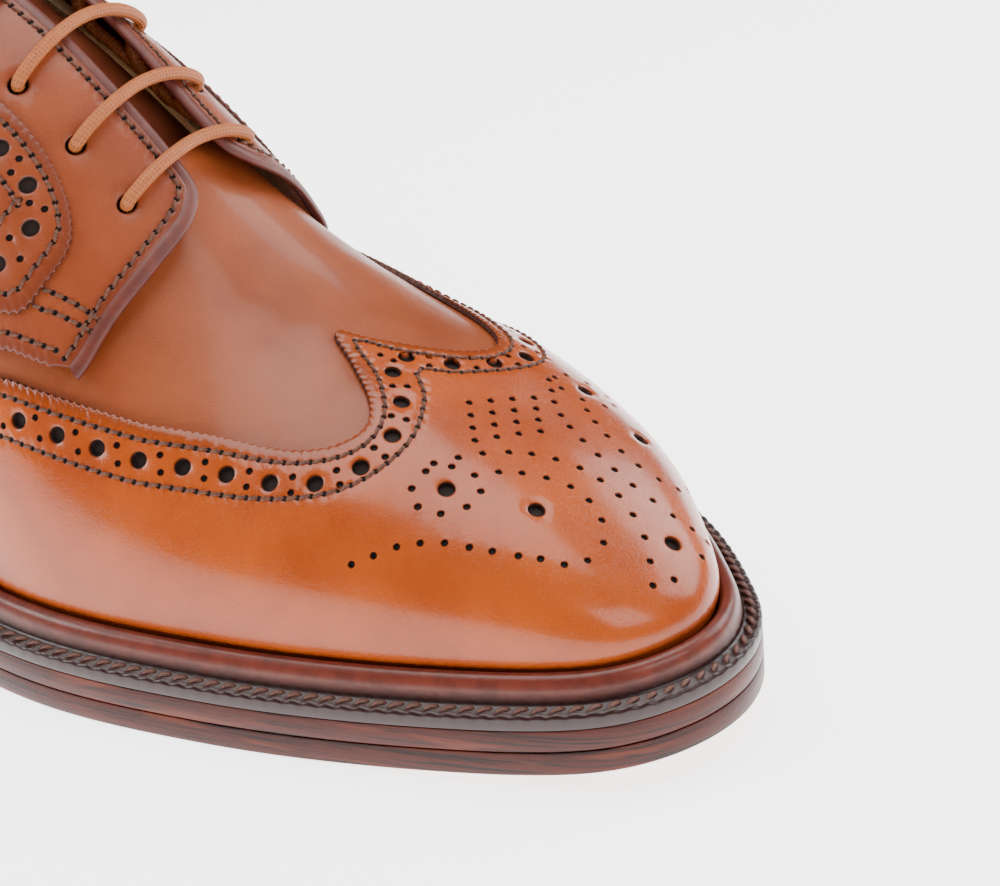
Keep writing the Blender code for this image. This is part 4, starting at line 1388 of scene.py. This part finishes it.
def make_stay(side):
    """The punched stay on a quarter."""
    top, edge_line = stay_line(side)
    ring = np.vstack([top, side_gimp(side, edge_line)])
    lines = [inward(side, edge_line, drop) for drop in (STAY_ROW_ONE, STAY_ROW_TWO)]
    rows = inside_rows([walk(line, STITCH_PITCH) for line in lines], ring)
    pits = [pit for pit in band_holes(inward(side, edge_line, BAND_DROP), STAY_BIG, STAY_SMALL)
            if inside(pit[0][None], ring)[0]]
    make_sheet("stay_" + side, ring, stay_lift, STAY_LIFT + STAY_SINK, QUARTER_STEP,
               [QUARTER_LEATHER, EDGE_LEATHER], "quarter_leather", (), pits, needle_holes(rows))
    sew("quarter", rows, stay_lift)


def make_bead(side, outer):
    """The rolled edge round the collar, the facing and the front of a quarter."""
    line = resample(np.vstack([collar_line(side)[:COLLAR_SKIP:3], outer]), BEAD_STEP)
    points, faces = sweep(line if side == "medial" else line[::-1], BEAD, quarter_lift)
    add_piece("bead_" + side, points, faces, [BEAD_LEATHER], "quarter_leather", sharp=ROLLED_ANGLE)


for side_name in SIDES:
    outer_edge = quarter_edge(side_name)
    make_quarter(side_name, outer_edge)
    make_stay(side_name)
    make_bead(side_name, outer_edge)


# Heel strip and tongue.
# The strip of calf covers the seam at the back; the tongue is softer leather under the lacing.

STRIP_HALF_WIDTH = 10.5
STRIP_LIFT = 2.9
STRIP_DROP = 2.8
TONGUE_BACK = 112.0
TONGUE_FRONT = 193.0
TONGUE_HALF_WIDTH = 21.0
TONGUE_LIFT = -3.2
TONGUE_THICKNESS = 1.8
TONGUE_RIBS = 40
TONGUE_STEP = 2.6
TONGUE_EDGE_STEP = 1.5
STRIP_THICKNESS = 1.3
STRIP_STEP = 2.0
STRIP_EDGE_STEP = 1.0
STRIP_FOOT_LIFT = 0.2
STRIP_ROW_INSET = 2.0
STRIP_ROW_FOOT = 12.0
STRIP_ROW_TOP = 3.0
STRIP_RIBS = 24
STRIP_SIDE_POINTS = 70
STRIP_ROW_POINTS = 60
TONGUE_LEATHER = leather("tongue_calf", (0.13, 0.03, 0.012), (0.08, 0.018, 0.008), (0.05, 0.012, 0.007),
                         0.45, 0.1)


def strip_lift(places):
    """Height of the back strip's face: it tucks in behind the welt's ridge."""
    start, reach = WING_TUCK
    return STRIP_FOOT_LIFT + (STRIP_LIFT - STRIP_FOOT_LIFT) * smooth((unfold(places)[2] - start) / reach)


def make_heel_strip():
    """Back strip with a stitch row along both edges."""
    shares = np.linspace(heel_share(STRIP_HALF_WIDTH), 0.0, STRIP_RIBS)
    tops = {side: collar_girth(side, shares) - STRIP_DROP for side in SIDES}
    top = np.vstack([flat("lateral", shares, tops["lateral"]),
                     flat("medial", shares[::-1], tops["medial"][::-1])[1:]])
    low = np.vstack([flat("medial", shares, WING_FOOT), flat("lateral", shares[::-1], WING_FOOT)[1:]])
    down, up = (np.linspace(start, end, STRIP_SIDE_POINTS)[1:-1]
                for start, end in ((top[-1], low[0]), (low[-1], top[0])))
    ring = resample(np.vstack([top, down, low, up]), STRIP_EDGE_STEP, True)
    rows = []
    for side in SIDES:
        near = np.full(STRIP_ROW_POINTS, heel_share(STRIP_HALF_WIDTH - STRIP_ROW_INSET))
        girth = np.linspace(STRIP_ROW_FOOT, float(tops[side][0]) - STRIP_ROW_TOP, STRIP_ROW_POINTS)
        rows.append(walk(flat(side, near, girth), STITCH_PITCH))
    make_sheet("back_strip", ring, strip_lift, STRIP_THICKNESS, STRIP_STEP, [QUARTER_LEATHER, EDGE_LEATHER],
               "quarter_leather", ("heel_strip",), (), needle_holes(rows))
    sew("quarter", rows, strip_lift)


def tongue_lift(places):
    """Height of the tongue's face, inside the vamp."""
    return np.full(len(places), TONGUE_LIFT)


def make_tongue():
    """Tongue, a curved strip from the collar down under the vamp."""
    dense = np.linspace(0, 1, HALF_SAMPLES)
    stations = np.linspace(TONGUE_BACK, TONGUE_FRONT, TONGUE_RIBS)
    shares = np.interp(stations, ridge_along(along_of(dense)), dense)
    lateral, medial = (from_top(side, shares, TONGUE_HALF_WIDTH) for side in SIDES)
    ring = resample(np.vstack([lateral, medial[::-1]]), TONGUE_EDGE_STEP, True)
    make_sheet("soft_tongue", ring, tongue_lift, TONGUE_THICKNESS, TONGUE_STEP,
               [TONGUE_LEATHER, EDGE_LEATHER, SUEDE], "tongue_leather", ("tongue",), back=True)


make_heel_strip()
make_tongue()


# Sole, welt and heel.
# A double leather sole with a storm welt: its ridge closes the seam against the upper.
# The edges are dyed mahogany and burnished, so the layers show as fine streaks.

OUTSOLE_TOP = 4.6
MIDSOLE_FOOT = 4.66
MIDSOLE_TOP = 8.9
HEEL_LAYERS = 4
HEEL_TAPER = 1.6
HEEL_MARGIN = 0.4
HEEL_GAP = 0.04
HEEL_SECTION = ((0.3, 0.0), (0.0, 0.25), (0.0, -0.12), (0.14, 0.0))
HEEL_SIDE_POINTS = 90
BREAST_POINTS = 24
BREAST_HOLLOW = 3.0
RING_SHARES = 0.25 * (1 - np.cos(np.linspace(0, math.pi, 260))) + 0.5 * np.linspace(0, 1, 260)
WELT_SHARES = np.linspace(0, 1, 751)
THREAD_SHARES = np.linspace(0, 1, 2000)
WELT_PITCH = 3.1
# Section of the welt: distance inward and height.
WELT_SECTION = ((0.1, 0.0), (0.0, 0.3), (0.0, 2.1), (0.2, 2.6), (0.7, 2.85), (2.8, 2.8), (3.25, 3.3),
                (3.6, 5.3), (4.1, 6.8), (4.9, 7.6), (5.9, 7.8), (6.8, 7.2), (7.3, 6.0), (7.3, 0.0))
FUDGE_ROWS = (3, 4)
WELT_RIM_ROWS = 6
CHANNEL_ROW = 5
FUDGE_DEPTH = 0.16
CHANNEL_INSET = 1.85
WELT_THREAD = (0.52, 2.5)
WELT_THREAD_SIDES = 8
WELT_THREAD_FLAT = 0.8
WELT_SLANT = 0.5
# Rings of a welt stitch: place along it, width and rise.
WELT_THREAD_RINGS = ((-0.5, 0.45, -0.2), (-0.36, 0.9, 0.1), (-0.12, 1.05, 0.26), (0.12, 1.05, 0.26),
                     (0.36, 0.9, 0.1), (0.5, 0.45, -0.2))


STREAK_SPREAD = (0.035, 0.035, 1.3)
CLOUD_SPREAD = (0.05, 0.05, 0.5)


def streaked(name, first, second, third, roughness):
    """Edge of stacked leather: long thin streaks along the layers."""
    made, shader, place = material(name, Coat_Weight=0.05, Coat_Roughness=0.2, Specular_IOR_Level=0.22)
    streak = place.spread(STREAK_SPREAD).noise(1.0, 5.0, 0.65)
    cloud = place.spread(CLOUD_SPREAD).noise(1.0, 3.0).clamp(0.5, 0.7)
    colour = cloud.mix(streak.clamp(0.36, 0.56).mix(first, second), third)
    feed(shader, Base_Color=colour, Roughness=streak * 0.2 + roughness)
    raise_bump(shader, streak + place.noise(0.9) * 0.5, 0.08)
    return made


SOLE_EDGE = streaked("sole_edge", (0.008, 0.002, 0.0015), (0.06, 0.008, 0.004), (0.11, 0.018, 0.007), 0.3)
HEEL_EDGE = streaked("heel_edge", (0.014, 0.003, 0.002), (0.09, 0.013, 0.005), (0.14, 0.025, 0.01), 0.3)
SOLE_UNDER = plain("sole_under", (0.42, 0.25, 0.13), (0.3, 0.16, 0.08), 0.6, 0.08, 0.1)


# Welt tones: the ridge's are raised as a painted highlight, the flat rim stays dark.
RIDGE_PAINTED_LIT_PALE = (0.14, 0.026, 0.015)
RIDGE_PAINTED_LIT_DEEP = (0.085, 0.015, 0.009)
RIM_DARK = (0.022, 0.006, 0.005)


def welt_hide():
    """Welt leather, darker on the flat rim, its ridge painted paler as a highlight."""
    made, shader, place = material("welt_hide", Specular_IOR_Level=0.4)
    soft = place.noise(0.25, 4.0, 0.6)
    # Painted highlight: the ridge is coloured paler than the rim.
    ridge = soft.clamp(0.3, 0.7).mix(RIDGE_PAINTED_LIT_PALE, RIDGE_PAINTED_LIT_DEEP)
    colour = place.attribute("rim").mix(ridge, RIM_DARK)
    feed(shader, Base_Color=colour, Roughness=soft * 0.15 + 0.26)
    raise_bump(shader, place.noise(0.9, 4.0), 0.04)
    return made


WELT_LEATHER = welt_hide()
RUBBER = plain("heel_rubber_black", (0.018, 0.017, 0.016), (0.03, 0.028, 0.027), 0.75, 0.5, 0.06)


def outline_ring(inset, shares):
    """Ring of the sole's outline at shares from heel to toe, moved inward."""
    return np.vstack([edge("lateral", shares, inset), edge("medial", shares[::-1], inset)[1:-1]])


def at_heights(ring, height):
    """A flat ring at a height over the sole's bottom."""
    return np.column_stack([ring, sole_height(ring[:, 0]) + height])


def loft(rings, closed=False):
    """Faces between rings of equal counts, capped flat unless they close on themselves."""
    total = len(rings[0])
    count = len(rings)
    faces = []
    for k in range(count if closed else count - 1):
        for i in range(total):
            a, b = k * total + i, k * total + (i + 1) % total
            faces.append((a, b, (k + 1) % count * total + (i + 1) % total, (k + 1) % count * total + i))
    return np.vstack(rings), faces


def strip_caps(total, first, flip):
    """Strips across a ring from its outer side to its inner side."""
    half = total // 2
    faces = []
    for i in range(half):
        face = [first + v for v in dict.fromkeys((i, i + 1, (total - i - 1) % total, (total - i) % total))]
        faces.append(tuple(face[::-1] if flip else face))
    return faces


def make_slab(name, low, high, replaced):
    """A sole layer between two heights over the sole's bottom, softly rounded at its rim."""
    profile = ((0.5, low), (0.12, low + 0.12), (0.0, low + 0.4), (0.0, high - 0.25), (0.1, high - 0.06),
               (0.4, high))
    rings = [at_heights(outline_ring(inset, RING_SHARES), height) for inset, height in profile]
    total = len(rings[0])
    points, faces = loft(rings)
    caps = strip_caps(total, 0, True) + strip_caps(total, (len(profile) - 1) * total, False)
    add_piece(name, points, faces + caps, [SOLE_EDGE, SOLE_UNDER], "sole_leather", (replaced,),
              which=[0] * len(faces) + [1] * len(caps))


def make_welt():
    """Storm welt with small notches pressed between its stitches."""
    wave = np.cos(2 * math.pi * run_length(outline_ring(0.0, WELT_SHARES)) / WELT_PITCH)
    rings, rim = [], []
    for k, (inset, height) in enumerate(WELT_SECTION):
        press = FUDGE_DEPTH * wave if k in FUDGE_ROWS else 0.0
        rings.append(at_heights(outline_ring(inset, WELT_SHARES), SEAT + height + press))
        rim.append(np.full(len(wave), 1.0 if k <= WELT_RIM_ROWS else 0.0))
    points, faces = loft(rings, closed=True)
    add_piece("storm_welt", points, faces, [WELT_LEATHER], "welt_leather", ("welt",),
              {"rim": np.concatenate(rim)}, sharp=WELT_ANGLE)


TAN_DEEP = (0.32, 0.19, 0.09)
TAN_PALE = (0.55, 0.35, 0.17)
TAN_DYED = (0.1, 0.035, 0.022)
DYED_FROM = (-60.0, 10.0)


def welt_thread():
    """Waxed thread, tan at the heel and dark with dye towards the toe."""
    made, shader, place = material("welt_thread", Roughness=0.55)
    far = place.axis("X").clamp(*DYED_FROM)
    twist = place.spread((1.6, 0.9, 1.2)).noise(1.0, 2.0)
    feed(shader, Base_Color=far.mix(twist.clamp(0.35, 0.6).mix(TAN_DEEP, TAN_PALE), TAN_DYED))
    raise_bump(shader, twist, 0.12)
    return made


def make_welt_threads():
    """Rope-like stitches lying slantwise in the welt's channel."""
    radius, reach = WELT_THREAD
    ring = resample(outline_ring(CHANNEL_INSET, THREAD_SHARES), WELT_PITCH, True)
    ahead = unit(np.roll(ring, -1, axis=0) - np.roll(ring, 1, axis=0))
    turn = np.linspace(0, 2 * math.pi, WELT_THREAD_SIDES, endpoint=False)
    parts = []
    for place, along, aside in zip(ring, ahead, turn_left(ahead)):
        rings = []
        for step, width, rise in WELT_THREAD_RINGS:
            middle = place + along * step * reach + aside * step * 2 * WELT_SLANT
            height = sole_height(middle[0]) + SEAT + WELT_SECTION[CHANNEL_ROW][1] + rise
            spread = aside[None] * (np.cos(turn) * radius * width)[:, None]
            climb = np.sin(turn) * radius * width * WELT_THREAD_FLAT
            rings.append(np.column_stack([middle + spread, height + climb]))
        parts.append((np.vstack(rings), tube_faces(len(rings), WELT_THREAD_SIDES)))
    add_piece("welt_stitches", *join(parts), [welt_thread()], "welt_leather")


def heel_ring(inset):
    """Ring of the heel: round at the back, a slightly hollow breast in front."""
    shares = np.linspace(0, share_of(BREAST), HEEL_SIDE_POINTS)
    lateral, medial = (edge(side, shares, inset) for side in SIDES)
    across = np.linspace(0, 1, BREAST_POINTS)[1:-1]
    breast = lateral[-1] + (medial[-1] - lateral[-1]) * across[:, None]
    breast[:, 0] -= BREAST_HOLLOW * np.sin(math.pi * across)
    return np.vstack([lateral, breast, medial[1:][::-1]])


def make_heel():
    """Three leather lifts over a rubber top piece."""
    step = HEEL_HEIGHT / HEEL_LAYERS
    for k, node in enumerate(("heel_top_piece", "heel_lift_1", "heel_lift_2", "heel_lift_3")):
        low, high = k * step, (k + 1) * step - HEEL_GAP
        rings = []
        for (inset, shift), level in zip(HEEL_SECTION, (low, low, high, high)):
            ring = heel_ring(HEEL_MARGIN + HEEL_TAPER * (1 - (level + shift) / HEEL_HEIGHT) + inset)
            rings.append(np.column_stack([ring, np.full(len(ring), level + shift)]))
        points, faces = loft(rings)
        total = len(rings[0])
        faces += [tuple(range(total))[::-1], tuple(range(3 * total, 4 * total))]
        finish, slot = (RUBBER, "heel_rubber") if k == 0 else (HEEL_EDGE, "heel_leather")
        add_piece("heel_layer_" + str(k + 1), points, faces, [finish], slot, (node,))


make_slab("leather_outsole", 0.0, OUTSOLE_TOP, "outsole")
make_slab("leather_midsole", MIDSOLE_FOOT, MIDSOLE_TOP, "midsole")
make_welt()
make_welt_threads()
make_heel()
insole = bpy.data.objects["insole"]
for entry in insole.material_slots:
    entry.material = LINING


# Laces.
# One round waxed cotton cord through the eyelets, five straight bars over the gap.
# Between rows it runs hidden under the facings, and its ends stop behind the top eyelets.
# A route names the eyelets that each half of the cord passes, from the lowest bar up.

LACE_RADIUS = 1.2
LACE_LIFT = 1.75
LACE_SIDES = 16
LACE_STEP = 0.4
LACE_HIDDEN = 15.2
LACE_DIP = ((0.0, 0.5, 1.2), (2.2, 1.6, -1.2))
LACE_TURN = 0.25
LACE_UNDER_POINTS = 5
# Lace tones: the deep one is painted shade in the braid's grooves.
LACE_GROOVE_SHADE = (0.2, 0.048, 0.008)
LACE_PALE = (0.36, 0.092, 0.014)
LACE_SPECK = (0.13, 0.04, 0.012)
LACE_RIM = FACING_GAP + 0.6
LACE_SAMPLES = 4000
LACE_BRAID = 1.5
LACE_STRANDS = 6.0
LACE_ROUTES = ((("lateral", 0), ("lateral", 1), ("medial", 1), ("medial", 3), ("lateral", 3)),
               (("medial", 0), ("medial", 2), ("lateral", 2), ("lateral", 4), ("medial", 4)))


def lace_point(side, number, aside, lift):
    """Point at a distance from the ridge on an eyelet row's rib."""
    return skin(row_place(side, number, aside), lift)[0]


def over(side, number):
    """Points of a bar from inside an eyelet to the middle of the gap."""
    start = EYELET_ASIDE[side]
    face, rim = (quarter_lift(row_place(side, number, aside))[0] for aside in (start, LACE_RIM))
    # Each step: distance from the ridge and height over the last.
    steps = (
        (start, face - 1.1),
        (start - 0.2, face + 0.4 * LACE_LIFT),
        (start - 2.0, face + 0.9 * LACE_LIFT),
        (start - 4.2, (face + rim) / 2 + LACE_LIFT),
        (LACE_RIM, rim + LACE_LIFT),
        (0.0, rim + LACE_LIFT - 0.4),
    )
    return [lace_point(side, number, aside, lift) for aside, lift in steps]


def under(side, first, second):
    """Hidden run between two eyelets of one side."""
    numbers = np.linspace(first + LACE_TURN, second - LACE_TURN, LACE_UNDER_POINTS)
    return [lace_point(side, number, LACE_HIDDEN, np.interp(number, *LACE_DIP)) for number in numbers]


def bar_points(start, number):
    """A whole bar from one side's eyelet to the other's."""
    other = "medial" if start == "lateral" else "lateral"
    near, far = over(start, number), over(other, number)
    return near[:-1] + [(near[-1] + far[-1]) / 2] + far[-2::-1]


def lace_route(route):
    """Points of one half of the cord from the middle of the lowest bar to its hidden end."""
    side, number = route[0]
    start = over(side, number)
    points = [start[-1]] + start[-2::-1]
    for (side, number), (goal, level) in zip(route, route[1:]):
        if side == goal:
            points += under(side, number, level)
        else:
            points += bar_points(side, number)
    return points


def waxed_cotton():
    """Tan cotton with a round braid that follows the cord, painted shade in the braid's grooves."""
    made, shader, place = material("waxed_cotton", Roughness=0.6)
    angle = place.maths("ARCTAN2", place.attribute("turn_y"), place.attribute("turn_x")) * LACE_STRANDS
    way = place.attribute("length") * (2 * math.pi / LACE_BRAID)
    braid = place.maths("SINE", angle + way) * place.maths("SINE", angle - way) * 0.5 + 0.5
    speck = place.noise(1.7, 3.0, 0.6)
    # Painted shade: the braid's low cells take the deep tone, its raised strands the pale one.
    colour = braid.clamp(0.0, 0.5).mix(LACE_GROOVE_SHADE, LACE_PALE)
    feed(shader, Base_Color=(speck.clamp(0.56, 0.7) * 0.6).mix(colour, LACE_SPECK))
    raise_bump(shader, braid + speck * 0.6, 0.1)
    return made


def carried_up(tangent):
    """Directions square to a path that don't twist along it."""
    up = np.array([0.0, 0.0, 1.0])
    result = []
    for way in tangent:
        up = unit(up - way * (up @ way))
        result.append(up)
    return np.array(result)


def make_lace():
    """The cord, its two halves joined in the middle of the lowest bar."""
    first, second = (lace_route(route) for route in LACE_ROUTES)
    knots = np.array(first[:0:-1] + [(first[0] + second[0]) / 2] + second[1:])
    chord = run_length(knots)
    path = resample(spline(chord, knots, np.linspace(0, chord[-1], LACE_SAMPLES)), LACE_STEP)
    tangent = unit(np.gradient(path, axis=0))
    up = carried_up(tangent)
    turn = np.linspace(0, 2 * math.pi, LACE_SIDES, endpoint=False)
    ring = np.cross(tangent, up)[:, None] * np.cos(turn)[:, None] + up[:, None] * np.sin(turn)[:, None]
    count = len(path)
    attributes = {
        "turn_x": np.tile(np.cos(turn), count),
        "turn_y": np.tile(np.sin(turn), count),
        "length": np.repeat(np.arange(count) * LACE_STEP, LACE_SIDES),
    }
    add_piece("cord", (path[:, None] + ring * LACE_RADIUS).reshape(-1, 3), tube_faces(count, LACE_SIDES),
              [waxed_cotton()], "lace_cotton", tuple("lace_bar_" + str(k + 1) for k in range(EYELET_PAIRS)),
              attributes)


make_lace()


# Stitches.
# Waxed thread in short slanted lengths between needle holes, one mesh for each leather.

for kind, parts in STITCHES.items():
    points, faces = join(parts)
    add_piece(kind + "_stitches", points, faces, [THREAD], kind + "_leather")
